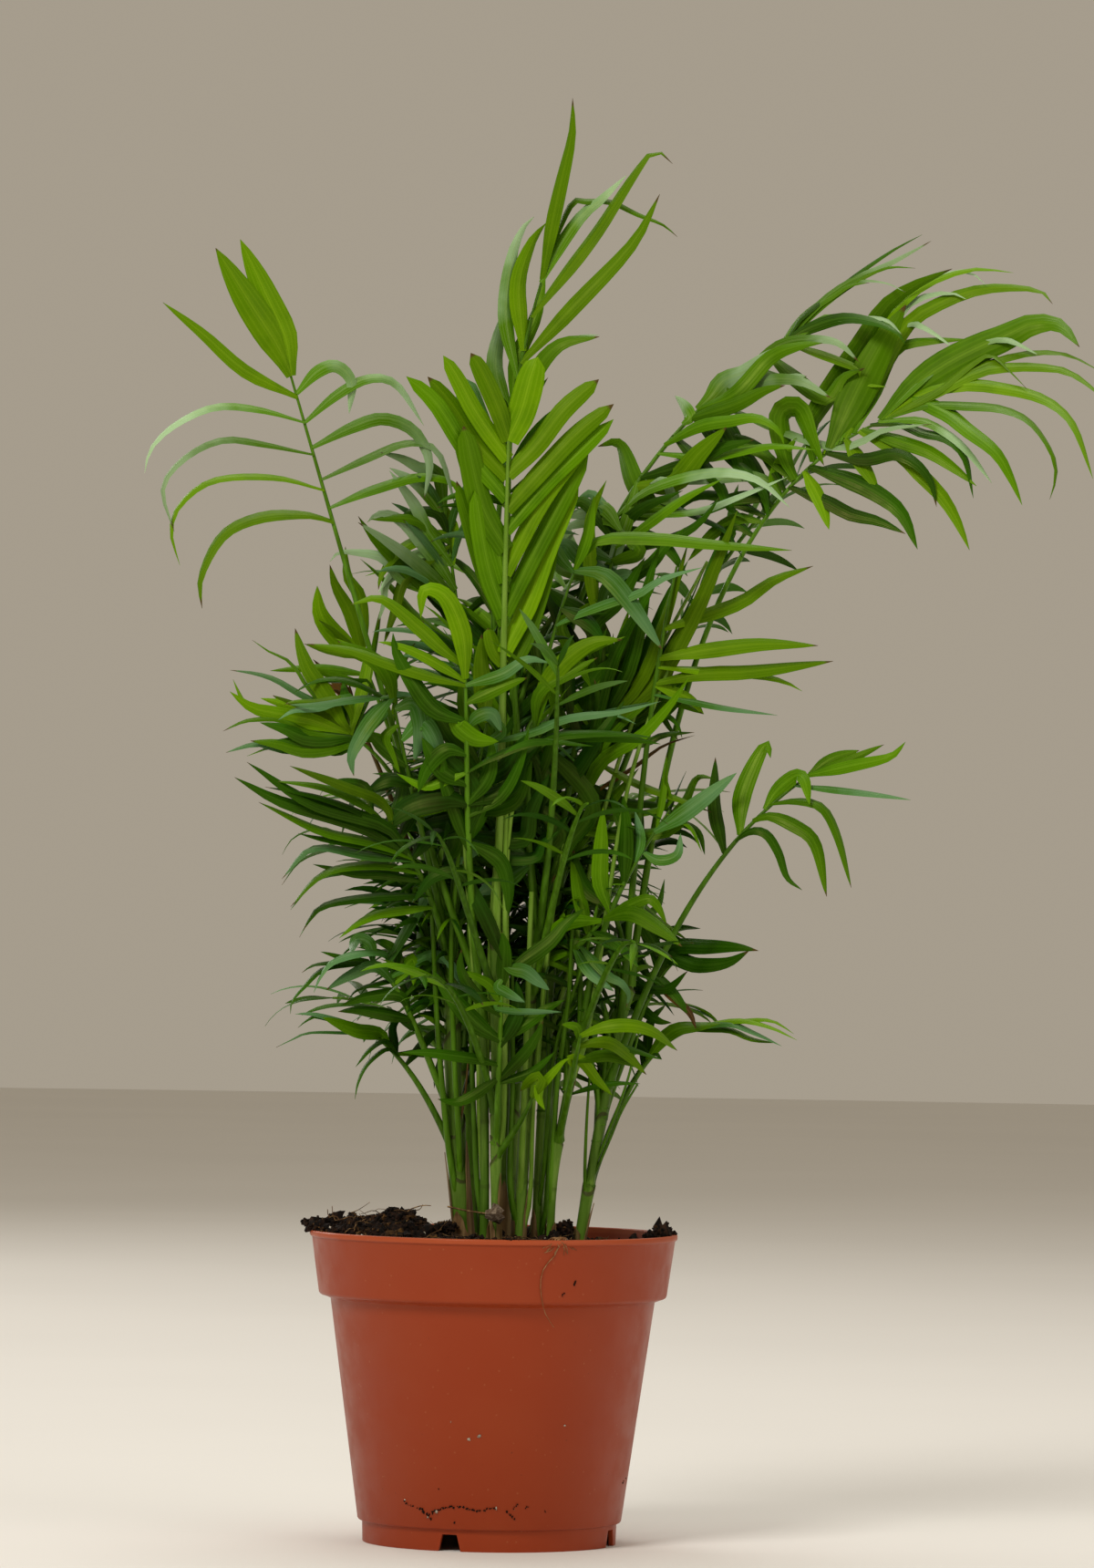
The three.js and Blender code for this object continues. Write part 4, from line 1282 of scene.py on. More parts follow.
@dataclass(frozen=True)
class Frond:
    """One frond: a stalk that leaves its cane and runs on as a rib with leaflets."""

    name: str
    start: Point
    path: tuple[Point, Point, Point]
    bare: float
    face: Point
    leaflets: tuple[Leaflet, ...] = ()
    sides: tuple[Side, Side] | None = None
    tones: tuple[Tone, ...] = (Tone.DEEP, Tone.DEEP, Tone.MID, Tone.BLOOM)
    gap: float = 9.0
    stem: Stem = Stem.GREEN
    girth: float = 1.0
    slot: str = "leaf"
    thinning: float = 0.08
    solid: bool = True
    foot: float = 0.3
    blunt: float = 1.25
    breadth: float = 0.9
    # Stretches of a grown leaflet.
    strides: int = 9
    # For listed leaflets: how much to the back the first and last run, the steepest that any
    # runs, both as a share of its reach, and how far over the middle of the rib it starts.
    lean: float = 0.16
    steepest: float = 0.55
    clear: float = 0.45

    @property
    def curve(self) -> Curve:
        """Line of the stalk and rib."""
        return Curve((self.start, *self.path))

    def upper(self, share: float) -> np.ndarray:
        """Direction that the upper side looks in at a share of the curve."""
        return square_to(np.array(self.face, float), self.curve.heading(share))

    def add_rib(self, skin: Skin, tint: float) -> None:
        """Adds the stalk and rib, thicker where it clasps its cane.

        Args:
            skin: Mesh that they join.
            tint: Random share that sets their shade apart.
        """
        share = np.linspace(0, 1, 34)
        radii = self.girth * (1.2 - 0.8 * share**1.8 + 0.9 * np.exp(-share / 0.035))
        add_tube(skin, self.curve.at(share), np.maximum(radii, 0.3), 8, self.stem.value, tint)

    def add_drawn(self, skin: Skin, leaflet: Leaflet, lean: float, rng: random.Random) -> None:
        """Adds a listed leaflet. The narrower it is for its length, the more it shows its edge.

        Args:
            skin: Mesh that it joins.
            leaflet: The leaflet.
            lean: How far it runs to the back, as a share of its reach.
            rng: Source of its small turns.
        """
        share = self.curve.nearest(*leaflet.route[0])
        upper = self.upper(share)
        base = self.curve.spot(share) + self.clear * upper
        through = math.copysign(max(abs(upper[1]), 0.35), upper[1])
        points = [base]
        for x, z in leaflet.route[1:]:
            reach = math.hypot(x - base[0], z - base[2])
            depth = -(upper[0] * (x - base[0]) + upper[2] * (z - base[2])) / through
            depth = float(np.clip(depth, -self.steepest * reach, self.steepest * reach)) + lean * reach
            points.append(np.array(VIEW.behind(x, base[1] + depth, z)))
        steps = np.diff(smooth_route(points, 30), axis=0)
        length = float(np.linalg.norm(steps, axis=1).sum())
        bends = np.sum(unit(steps[1:]) * unit(steps[:-1]), axis=1)
        turning = float(np.arccos(np.clip(bends, -1, 1)).sum())
        path = smooth_route(points, int(np.clip(10 + 3.5 * turning, 12, 22)))
        width = min(max(1.08 * leaflet.width, min(5.4, 1.2 + 0.065 * length)), 1.5 * leaflet.width)
        tilt = math.acos(min(1.0, leaflet.width / width))
        to_back = np.array([0.0, 1.0, 0.0])
        out = np.zeros_like(path)
        held = np.array([0.0, 0.0, 1.0])
        for i, heading in enumerate(tangents(path)):
            normal = unit(np.cross(heading, to_back))
            held = normal if normal @ held >= 0 else -normal
            out[i] = held
        facing = out * math.sin(tilt) - to_back * math.cos(tilt)
        add_leaflet(skin, path, facing, width, leaflet.tone.value, rng.random(), 0.18,
                    rng.uniform(-0.25, 0.25), self.foot, self.blunt)

    def add_grown(self, skin: Skin, rng: random.Random) -> None:
        """Adds leaflets by the rule of each side, with a pair at the tip.

        Args:
            skin: Mesh that they join.
            rng: Source of their differences.
        """
        share = np.linspace(self.bare, 1, 40)
        length = float(np.linalg.norm(np.diff(self.curve.at(share), axis=0), axis=1).sum())
        pairs = max(3, round(length / self.gap))
        for side, way in zip(self.sides, (-1, 1)):
            for i in range(pairs + 1):
                if rng.random() < self.thinning:
                    continue
                place = min(1.0, max(0.0, (i + 0.25 * way * (i < pairs)) / pairs))
                self.add_ruled(skin, side, way, place, rng)

    def add_ruled(self, skin: Skin, side: Side, way: int, place: float, rng: random.Random) -> None:
        """Adds the leaflet of one side at a share of the leafy part of the rib.

        Args:
            skin: Mesh that it joins.
            side: Rule of the side.
            way: -1 for the left side and 1 for the right.
            place: Share of the leafy part.
            rng: Source of its small differences.
        """
        share = self.bare + (1 - self.bare) * place
        base, along, upper = self.curve.spot(share), self.curve.heading(share), self.upper(share)
        right = np.cross(along, upper)
        length, angle, bend = side.at(place)
        length *= rng.uniform(0.7, 1.08)
        angle += math.radians(rng.gauss(0, 9))
        bend *= rng.uniform(0.4, 1.4)
        heading = along * math.cos(angle) + right * way * math.sin(angle)
        heading = unit(heading + upper * rng.gauss(0.05, 0.2))
        upper = upper + right * rng.gauss(0, 0.3)
        fall = np.array([0.0, 0.0, -1.0])
        fall = fall - (fall @ heading) * heading
        bend = bend if np.linalg.norm(fall) > 1e-3 else 0.0
        fall = unit(fall)
        turns = bend * ((np.arange(self.strides) + 0.5) / self.strides)[:, None] ** 1.5
        steps = (heading * np.cos(turns) + fall * np.sin(turns)) * length / self.strides
        path = np.vstack([base, base + np.cumsum(steps, axis=0)])
        width = min(6.2, 1.2 + 0.085 * length) * self.breadth * rng.uniform(0.75, 1.1)
        tone = rng.choice(self.tones)
        add_leaflet(skin, path, upper, width, tone.value, rng.random(), 0.22, rng.uniform(-0.9, 0.9),
                    self.foot, self.blunt)

    def add(self, leaves: Skin, ribs: Skin) -> None:
        """Adds the whole frond.

        Args:
            leaves: Mesh that its leaflets join.
            ribs: Mesh that its stalk and rib join.
        """
        rng = random.Random(self.name)
        self.add_rib(ribs, rng.random())
        for leaflet, lean in zip(self.leaflets, np.linspace(-self.lean, self.lean, len(self.leaflets))):
            self.add_drawn(leaves, leaflet, float(lean), rng)
        if self.sides:
            self.add_grown(leaves, rng)

    def build(self, palette: "Palette") -> None:
        """Makes the frond's two pieces in place of its solid.

        Args:
            palette: The materials.
        """
        leaves, ribs = Skin(), Skin()
        self.add(leaves, ribs)
        nodes = (self.name,) if self.solid else ()
        settle(ribs.make(self.name + "_rib", palette.stems, 70), "cane", *nodes)
        settle(leaves.make(self.name + "_leaflets", palette.leaves, 50), self.slot, *nodes)


class Palette:
    """All materials of the plant, made once."""

    def __init__(self) -> None:
        """Makes them."""
        self.leaves = [finish.make() for finish in LEAF_FINISHES]
        self.stems = [STEM_GREEN.make(), STEM_RED.make(), STEM_PALE.make()]
        self.cane = STEM_CANE.make()
        self.sheath = SHEATH.make()
        self.husk = HUSK.make()


# ---------------------------------------------------------------- the plant's fronds

DEEP, MID, BRIGHT, BLOOM, SHADE, DRY, OLIVE, FROST = Tone
GREEN, RED, PALE = Stem
UNDERGROWTH = (SHADE, DEEP, DEEP, MID)


def frond(name: str, cane: str, at: float, path: tuple[Point, Point, Point], bare: float, face: Point,
          *leaflets: Leaflet, **more: object) -> Frond:
    """A frond that leaves a cane.

    Args:
        name: Name of the solid that it stands for.
        cane: Name of its cane.
        at: Share of the cane's length at which it leaves.
        path: The two handles and the end of its rib.
        bare: Share of the stalk without leaflets.
        face: Direction that its upper side looks in.
        leaflets: The listed leaflets.
        more: Further fields of the frond.

    Returns:
        The frond.
    """
    return Frond(name, tuple(CANES[cane].curve.spot(at)), path, bare, face, leaflets, **more)


def front_sides(left: float, right: float) -> tuple[Side, Side]:
    """Sides of a low frond at the front, by their longest leaflets."""
    return Side(left, 0.8, 0.8, 66, 16, 50, 40), Side(right, 0.8, 0.8, 66, 16, 50, 40)


FRONDS = (
    frond(
        "frond_left_arch", "cane_left_thin", 1, ((-24, -27, 225), (-46, -24, 300), (-70, -20, 378)), 0.7,
        (0.2, -0.8, 0.5),
        leaf(10, BRIGHT, -70, 378, -76, 390, -84, 402, -96, 421),
        leaf(9, BRIGHT, -70, 378, -73, 392, -79, 405, -88, 424),
        leaf(4.5, BRIGHT, -69, 371, -86, 381, -100, 393, -113, 403),
        leaf(2.5, FROST, -66, 362, -80, 368, -95, 369, -108, 363, -116, 355, -118, 347),
        leaf(2.3, FROST, -62, 352, -80, 357, -93, 358, -105, 352, -112, 342, -108, 328),
        leaf(2.5, BRIGHT, -58, 341, -75, 346, -95, 345, -106, 337, -109, 328, -106, 317),
        leaf(4, BRIGHT, -55, 331, -65, 334, -80, 333, -92, 327, -99, 313, -98.5, 303),
        leaf(4.5, FROST, -68, 372, -62, 381, -56, 383, -51, 378, -51.5, 367.5),
        leaf(4, FROST, -65, 363, -55, 374, -45, 379, -36, 377, -27, 364),
        leaf(4.5, FROST, -61, 355, -50, 363, -40, 366, -30, 362, -25, 352, -26.5, 340),
        leaf(3.5, FROST, -58, 344.5, -45, 353, -32, 358, -22, 355, -16, 337),
        leaf(3.5, MID, -55, 336, -42, 343, -28, 347, -17, 345, -14, 338),
    ),
    frond(
        "frond_top", "cane_core", 1, ((-4, 3, 290), (-8, 4, 350), (13, 4, 420)), 0.78, (0.1, -0.9, 0.3),
        leaf(5, BRIGHT, 11, 413, 14, 430, 17, 445, 20, 460, 20, 472),
        leaf(5.5, BRIGHT, 2, 386, 20, 402, 40, 424, 49, 441),
        leaf(4.5, BRIGHT, 7, 400, 20, 416, 30, 430, 40, 446, 47, 455, 53, 451),
        leaf(4.5, FROST, 10, 412, 17, 424, 24, 434, 29, 438, 38, 447),
        leaf(2, MID, 13, 425, 20, 437, 26, 438, 33, 438, 42, 434, 50, 431, 55, 427),
        leaf(5, FROST, -4, 382, -1, 400, 1, 420, 5, 430, 8, 433),
        leaf(6, BRIGHT, 1, 390, 3, 410, 7, 424, 12, 431),
        leaf(2, FROST, 1, 380, 10, 386, 17, 391, 24, 394, 30, 394.5),
        leaf(6, FROST, -3, 368, -4, 382, -3, 394, 0, 404), leaf(5, MID, -2, 372, 3, 386, 9, 400, 12, 414),
        slot="bright_leaf",
    ),
    frond(
        "frond_front_fan", "cane_front", 1, ((1, -29, 240), (0, -36, 300), (1, -38, 357)), 0.58,
        (0, 1, 0.1),
        leaf(6.2, BRIGHT, 0, 351, -10, 368, -16, 379, -21, 387),
        leaf(6, BRIGHT, 1, 358, -3, 370, -8, 381, -12, 388),
        leaf(5.6, MID, 0, 338, -13, 356, -23, 371, -33, 380),
        leaf(8, MID, -1, 322, -7, 336, -11, 350, -14, 364),
        leaf(7, MID, -1, 300, -5, 316, -8, 330, -10, 343),
        leaf(5.4, BRIGHT, 0, 345, -10, 359, -18, 371, -26, 380),
        leaf(6, MID, 0, 311, -6, 335, -12, 350, -17, 364),
        leaf(5, MID, 0, 298, -7, 317, -12, 333, -16, 346), leaf(9, BRIGHT, 1, 358, 5, 369, 8, 381, 10, 387),
        leaf(6.2, BRIGHT, 2, 346, 10, 358, 19, 370, 30, 380),
        leaf(5.8, BRIGHT, 1, 335, 12, 350, 23, 362, 35, 372),
        leaf(5, MID, 2, 328, 13, 345, 25, 357, 35, 367),
        leaf(5.5, BRIGHT, 2, 314, 9, 334, 17, 347, 27, 358), leaf(6, MID, 2, 301, 9, 321, 18, 339, 27, 356),
        leaf(6.5, BRIGHT, 2, 288, 8, 306, 15, 326, 24, 347),
        leaf(5.5, MID, 2, 280, 7, 293, 12, 309, 17, 329), leaf(5, MID, 1, 308, -2, 317, -4, 324, -6, 333),
        leaf(5, BRIGHT, 1, 285, -3, 291, -5, 298),
        slot="bright_leaf", foot=0.75, blunt=2.4, stem=PALE, girth=1.2,
    ),
    frond(
        "frond_behind_fan", "cane_middle", 1, ((6, -12, 250), (-1, -12, 310), (2, -10, 366)), 0.74,
        (0, -0.6, 0.8),
        leaf(6, MID, 0, 365, 8, 380, 17, 391, 30, 394),
        leaf(4, BLOOM, -1, 345, -7, 366, -12, 378, -15, 376, -17, 365),
        leaf(3, BLOOM, 3, 350, 8, 358, 12, 366, 10, 355),
        tones=(BLOOM, DEEP), sides=(Side(30, 0.9, 0.7, 60, 34, 70, 50), Side(34, 0.9, 0.9, 58, 30, 60, 14)),
    ),
    frond(
        "frond_right_sweep", "cane_right", 1, ((50, -9, 235), (60, -12, 342), (123, -16, 367)), 0.62,
        (-0.2, -0.75, 0.7),
        leaf(7.5, MID, 97, 345, 91, 356, 89, 368, 92, 372, 96, 371, 100, 362, 104, 353),
        leaf(3.8, FROST, 90, 341, 87, 347, 80, 349, 69, 348, 55, 346),
        leaf(4.8, DEEP, 88, 338, 83, 342, 73, 341, 62, 335),
        leaf(5.4, DEEP, 87, 335, 83, 348, 78, 357, 72, 364),
        leaf(4.4, MID, 84, 333, 76, 335, 68, 330, 60, 321),
        leaf(4.8, DEEP, 82, 328, 75, 333, 71, 325, 64, 313),
        leaf(4.4, MID, 90, 341, 88, 348, 91, 356, 95, 362),
        leaf(4, MID, 95, 345, 83, 357, 72, 358, 55, 354), leaf(4, DEEP, 86, 334, 71, 342, 62, 342, 55, 336),
        leaf(4, DEEP, 93, 342, 85, 356, 78, 361, 70, 363),
        leaf(11, MID, 107, 356, 110, 367, 116, 380, 122, 392, 130, 406),
        leaf(3.2, FROST, 121, 366, 137, 383, 145, 391, 154, 394, 163, 395, 174, 390),
        leaf(10.5, MID, 122, 367, 132, 378, 143, 386, 154, 392, 163, 396, 171, 400, 180, 400, 187, 393),
        leaf(2.6, BRIGHT, 124, 368, 140, 377, 151, 386, 158, 390, 165, 384, 170, 379),
        leaf(3.4, BRIGHT, 124, 368, 137, 375, 154, 384, 165, 386, 176, 386, 185, 384, 197, 375),
        leaf(3.4, BRIGHT, 124, 368, 137, 376, 151, 384, 163, 389, 174, 391, 184, 390, 196, 384),
        leaf(4.6, BRIGHT, 124, 368, 132, 375, 140, 378, 151, 380, 162, 379, 172, 377, 180, 373, 186,
             366, 192, 350),
        leaf(3.6, MID, 124, 368, 137, 373, 151, 373, 162, 372, 171, 368, 178, 359, 180, 351, 178, 343),
        leaf(6, MID, 122, 369, 131, 375, 143, 371, 151, 365, 160, 358, 165, 350, 169, 341),
        leaf(3.2, FROST, 121, 366, 135, 368, 144, 364, 151, 358, 159, 348),
        leaf(3.8, DEEP, 118, 365, 128, 367, 136, 364, 144, 362, 150, 356, 153, 343),
        leaf(4.8, MID, 116, 363, 129, 361, 138, 358, 146, 353, 154, 347),
        leaf(4.8, BRIGHT, 99, 348, 103, 341, 106, 332), leaf(5.2, BRIGHT, 112, 358, 118, 351, 122, 345),
        leaf(4.8, DEEP, 106, 353, 117, 355, 127, 357, 134, 354, 139, 348, 141, 340),
        leaf(5.4, BRIGHT, 116, 361, 129, 357, 136, 350, 143, 343, 148, 335, 152, 326),
        leaf(6, DEEP, 101, 349, 113, 348, 123, 343, 130, 337, 135, 326),
        leaf(4.8, DEEP, 94, 344, 105, 341, 113, 337, 122, 335, 131, 331),
        leaf(7.5, MID, 101, 352, 99, 366, 106, 378, 115, 392, 123, 405, 132, 412, 145, 418),
        leaf(5.5, BRIGHT, 112, 358, 119, 377, 126, 392, 132, 401, 142, 407, 153, 411, 164, 412, 174,
             411, 178, 407),
        leaf(3.4, FROST, 109, 356, 119, 385, 129, 404, 137, 409, 145, 410, 150, 408),
        leaf(3.2, FROST, 110, 358, 117, 383, 123, 396, 130, 400, 137, 398, 146, 392),
        leaf(3.2, BRIGHT, 105, 353, 114, 383, 123, 399, 133, 410, 142, 415, 153, 418, 165, 417),
        leaf(2.8, FROST, 106, 355, 117, 385, 129, 405, 138, 414, 146, 417, 151, 417, 156, 413),
        leaf(4.2, MID, 114, 360, 120, 376, 127, 391, 137, 394, 151, 395),
    ),
    frond(
        "frond_right_crown", "cane_middle_right", 1, ((8, -2, 262), (20, 4, 352), (92, 8, 393)), 0.5,
        (-0.4, -0.5, 0.8),
        leaf(1.8, DEEP, 91, 393, 96, 401, 107, 410, 116, 417, 126, 424, 135, 429),
        leaf(2.4, FROST, 91, 393, 102, 406, 113, 414, 124, 419, 133, 424, 138, 427),
        leaf(1.6, MID, 91, 393, 103, 405, 115, 414, 124, 418, 133, 418),
        leaf(2.6, MID, 89, 391, 97, 402, 107, 409, 112, 412, 118, 413),
        leaf(1.6, FROST, 91, 393, 104, 407, 113, 413, 123, 413, 130, 410),
        leaf(4.6, DEEP, 88, 390, 97, 397, 109, 401, 120, 400, 127, 397, 130, 393),
        leaf(3.2, FROST, 89, 392, 96, 396, 104, 401, 112, 401, 123, 401, 129, 396),
        leaf(4.4, FROST, 81, 382, 89, 392, 99, 394, 108, 393, 115, 387),
        leaf(5.6, MID, 67, 367, 75, 376, 86, 388, 96, 392, 103, 393),
        leaf(7, FROST, 67, 367, 67, 375, 71, 380, 78, 383, 86, 389, 91, 392),
        leaf(5.2, MID, 63, 364, 74, 372, 84, 377, 91, 379),
        leaf(4.2, FROST, 74, 374, 80, 379, 88, 381, 97, 380, 106, 375),
        leaf(4, FROST, 82, 379, 89, 381, 95, 382, 98, 382),
        leaf(4.6, MID, 55, 357, 63, 365, 73, 367, 82, 368, 89, 364, 91, 359),
        leaf(3.8, MID, 55, 353, 66, 355, 77, 357, 88, 359, 101, 358),
        leaf(7, DEEP, 71, 369, 74, 361, 76, 353, 77, 348),
        leaf(6, DEEP, 77, 353, 81, 348, 85, 341, 86, 335),
        leaf(6, MID, 100, 366, 103, 375, 110, 382, 117, 385),
        leaf(3.2, BRIGHT, 110, 382, 114, 385, 117, 380, 124, 379),
        leaf(5, DEEP, 63, 356, 69, 347, 73, 339, 79, 335),
        leaf(4.4, FROST, 63, 361, 60, 368, 58, 372, 55, 375),
        leaf(7.5, BRIGHT, 47, 342, 55, 347, 63, 356, 72, 365),
        leaf(5, DEEP, 50, 344, 61, 353, 70, 358, 81, 361),
        leaf(3.6, FROST, 36, 336, 47, 344, 67, 350, 82, 348, 93, 339),
        leaf(2.4, FROST, 51, 328, 62, 337, 76, 342, 92, 349),
        leaf(3, FROST, 84, 354, 106, 359, 124, 365, 139, 367),
        leaf(3.4, DEEP, 40, 318, 54, 328, 64, 334, 70, 342),
        leaf(2.2, SHADE, 58, 334, 66, 334, 73, 330, 78, 322),
        leaf(5, DEEP, 29, 327, 40, 330, 52, 326, 60, 316),
        leaf(4, FROST, 24, 317, 20, 330, 20, 342, 26, 350),
        leaf(5, DEEP, 20, 300, 30, 320, 42, 336, 58, 344),
        leaf(7, MID, 51, 329, 47, 337, 42, 347, 37, 359, 30, 358),
        leaf(4.5, FROST, 46, 346, 40, 334, 36, 322, 34, 308),
        leaf(5, FROST, 50, 333, 54, 340, 52, 347, 47, 346),
    ),
    frond(
        "frond_right_shade", "cane_back_right", 1, ((40, 20, 255), (62, 22, 325), (100, 22, 352)), 0.55,
        (-0.3, 0.3, 0.9),
        tones=(SHADE, DEEP, DEEP, BLOOM),
        sides=(Side(40, 0.7, 0.7, 60, 22, 50, 50), Side(40, 0.7, 0.7, 60, 22, 50, 50)),
    ),
    frond(
        "frond_right_level", "cane_right", 0.84, ((44, -18, 220), (46, -24, 270), (56, -26, 318)), 0.7,
        (0.2, -0.9, 0.3),
        leaf(5.5, BRIGHT, 52, 288, 68, 292, 84, 294, 103, 294),
        leaf(5, BRIGHT, 51, 280, 65, 284, 81, 285, 108, 289),
        leaf(3, BRIGHT, 66, 283, 81, 284, 92, 282, 98, 279), leaf(2.6, BLOOM, 58, 275, 73, 273, 90, 271),
        leaf(5, BRIGHT, 61, 296, 76, 307, 88, 315, 101, 320), leaf(4, BRIGHT, 53, 279, 61, 276, 66, 271),
    ),
    frond(
        "frond_right_low", "cane_right", 0.62, ((50, -18, 188), (66, -26, 228), (100, -26, 251)), 0.62,
        (-0.4, -0.7, 0.8),
        leaf(5, DEEP, 72, 226, 70, 240, 70, 257), leaf(6, MID, 78, 231, 79, 245, 86, 261, 88, 257),
        leaf(5, MID, 86, 239, 90, 246, 96, 251, 99, 250, 101, 242),
        leaf(4, MID, 100, 251, 108, 257, 117, 260), leaf(3, MID, 100, 250, 112, 256, 125, 262),
        leaf(4, MID, 100, 250, 115, 255, 127, 258, 132, 263),
        leaf(2.5, BLOOM, 96, 246, 107, 247, 118, 246, 134, 244),
        leaf(3, MID, 88, 241, 97, 243, 105, 241, 110, 232, 115, 215),
        leaf(4.5, MID, 82, 236, 88, 238, 96, 235, 103, 229, 107, 212),
        leaf(3, DEEP, 76, 229, 82, 233, 87, 232, 91, 226, 94, 218, 99, 214),
    ),
    frond(
        "frond_left_fan", "cane_left", 1, ((-18, -20, 220), (-32, -32, 255), (-50, -36, 262)), 0.78,
        (0.3, -0.8, 0.6),
        leaf(5.5, BLOOM, -36, 274, -39, 271, -44, 267, -47, 262, -49, 254),
        leaf(2, DEEP, -40, 276, -43, 278, -49, 280, -56, 280, -63, 279, -68, 276),
        leaf(3.6, BLOOM, -38, 274, -49, 274, -60, 271, -68, 270, -73, 267),
        leaf(3, BRIGHT, -38, 273, -51, 273, -61, 273, -68, 273, -71, 272),
        leaf(3.6, BRIGHT, -38, 282, -44, 287, -49, 291, -55, 294),
        leaf(4.4, BRIGHT, -38, 284, -44, 287, -51, 289, -58, 290, -65, 292),
        leaf(6, BRIGHT, -48, 261, -53, 267, -58, 276, -63, 283, -66, 290, -68, 297),
        leaf(5.4, BRIGHT, -49, 262, -63, 267, -74, 269, -82, 271, -89, 276),
        leaf(3, BRIGHT, -63, 266, -71, 267, -79, 269, -84, 272, -88, 280),
        leaf(4.6, OLIVE, -49, 263, -59, 268, -69, 272, -75, 275),
        leaf(4.4, BRIGHT, -49, 263, -63, 269, -71, 272, -79, 274),
        leaf(5.4, DEEP, -49, 257, -63, 261, -71, 264, -79, 266),
        leaf(5.4, MID, -49, 254, -63, 257, -73, 259, -82, 260),
        leaf(4.4, DEEP, -48, 256, -58, 259, -66, 260, -75, 260),
        leaf(2, MID, -49, 258, -63, 263, -72, 267, -80, 267, -85, 266, -91, 263),
        leaf(2.6, BLOOM, -49, 255, -67, 257, -79, 259, -84, 258, -90, 256),
        leaf(2.2, MID, -49, 254, -63, 256, -74, 258, -83, 255),
        leaf(1.4, MID, -58, 271, -63, 277, -67, 283, -71, 287, -76, 289, -82, 293),
        leaf(2.2, BLOOM, -50, 266, -58, 271, -67, 276, -74, 280, -81, 282, -89, 283),
        leaf(5, DEEP, -46, 258, -48, 266, -51, 274, -52, 280),
        leaf(5, DEEP, -48, 257, -53, 258, -59, 258, -67, 256),
        slot="bright_leaf",
    ),
    frond(
        "frond_left_dark", "cane_left", 0.9, ((-18, -24, 205), (-28, -40, 228), (-43, -44, 238)), 0.6,
        (0.2, -0.7, 0.7),
        leaf(4, OLIVE, -30, 233, -38, 240, -50, 245, -69, 252),
        leaf(3.2, MID, -34, 236, -44, 239, -58, 245, -74, 247),
        leaf(2.6, DEEP, -32, 232, -46, 237, -60, 242, -77, 245),
        leaf(5.2, DEEP, -23, 227, -38, 233, -62, 240, -83, 253),
        leaf(5.2, DEEP, -26, 226, -46, 233, -71, 240, -87, 248),
        leaf(3.6, MID, -25, 224, -41, 227, -59, 231, -79, 240),
        leaf(3.4, DEEP, -26, 223, -41, 226, -57, 228, -66, 230),
        leaf(3, BLOOM, -30, 220, -44, 223, -61, 225, -71, 215),
        leaf(3.4, MID, -26, 217, -41, 220, -57, 217, -68, 206),
        leaf(3, DEEP, -28, 208, -44, 209, -58, 206, -64, 198),
        leaf(3.2, MID, -28, 204, -39, 204, -47, 200, -52, 196),
        leaf(3.4, DEEP, -30, 212, -38, 217, -47, 217, -61, 220),
        leaf(3.5, DEEP, -40, 238, -44, 245, -50, 247, -56, 247),
        leaf(5, DEEP, -32, 228, -28, 240, -30, 252), leaf(5, SHADE, -28, 222, -22, 230, -14, 232),
        leaf(4.5, DEEP, -24, 214, -14, 220, -4, 219), leaf(4, SHADE, -26, 218, -34, 224, -44, 224),
        leaf(5, DEEP, -36, 233, -32, 243, -34, 254, -40, 262),
    ),
    frond(
        "frond_left_upright", "cane_back_left", 1, ((-24, 14, 235), (-36, 4, 262), (-46, 0, 288)), 0.66,
        (0.3, -0.8, 0.4),
        leaf(7, BRIGHT, -46, 287, -55, 295, -60, 302, -61, 311),
        leaf(4.6, BRIGHT, -43, 290, -50, 302, -55, 311, -57, 318),
        leaf(5, BRIGHT, -43, 299, -47, 307, -51, 314, -52, 324), leaf(3, MID, -44, 282, -60, 284, -76, 283),
        slot="bright_leaf", tones=(BRIGHT, MID),
        sides=(Side(30, 1, 0.8, 56, 20, 14, 8), Side(24, 0.8, 1, 50, 14, 14, 6)),
    ),
    frond(
        "frond_left_droop", "cane_left", 0.72, ((-20, -6, 190), (-26, 0, 207), (-36, 4, 219)), 0.5,
        (0.2, -0.3, 0.9),
        leaf(1.8, DEEP, -33, 217, -45, 225, -55, 225, -65, 221, -71, 213),
        leaf(3, DEEP, -32, 216, -42, 220, -50, 218, -60, 215, -68, 205),
        leaf(2.5, DEEP, -30, 214, -38, 215, -45, 217),
        leaf(2.4, BLOOM, -25, 206, -38, 208, -50, 208, -60, 204, -65, 196),
        leaf(2.6, MID, -23, 202, -36, 204, -45, 201, -52, 196),
        leaf(1.4, DEEP, -36, 219, -55, 231, -62, 231, -68, 228, -71, 223),
        leaf(4, DEEP, -28, 211, -30, 222, -34, 230, -36, 240), leaf(3.5, MID, -24, 204, -27, 211, -22, 216),
        leaf(4, DEEP, -24, 204, -16, 212, -10, 222), leaf(4, SHADE, -20, 196, -14, 204, -8, 206),
        sides=(Side(30, 0.9, 0.9, 46, 16, 60, 56), Side(30, 0.8, 0.9, 56, 14, 50, 56)), tones=(SHADE, DEEP),
    ),
    frond(
        "frond_left_foot_high", "cane_left", 0.42, ((-24, -16, 160), (-30, -26, 184), (-42, -30, 189)), 0.6,
        (0, -0.4, 0.9),
        leaf(3.5, BLOOM, -30, 184, -36, 190, -45, 191, -54, 188, -58, 183, -60, 178),
        leaf(4, BLOOM, -30, 184, -40, 187, -48, 184, -56, 179),
        leaf(2, DEEP, -40, 189, -52, 188, -60, 187, -64, 184.5),
        leaf(2, DEEP, -40, 188, -56, 186, -63, 180, -67, 175, -67.5, 171),
        leaf(2, DEEP, -42, 188, -50, 189.5, -58, 191.5),
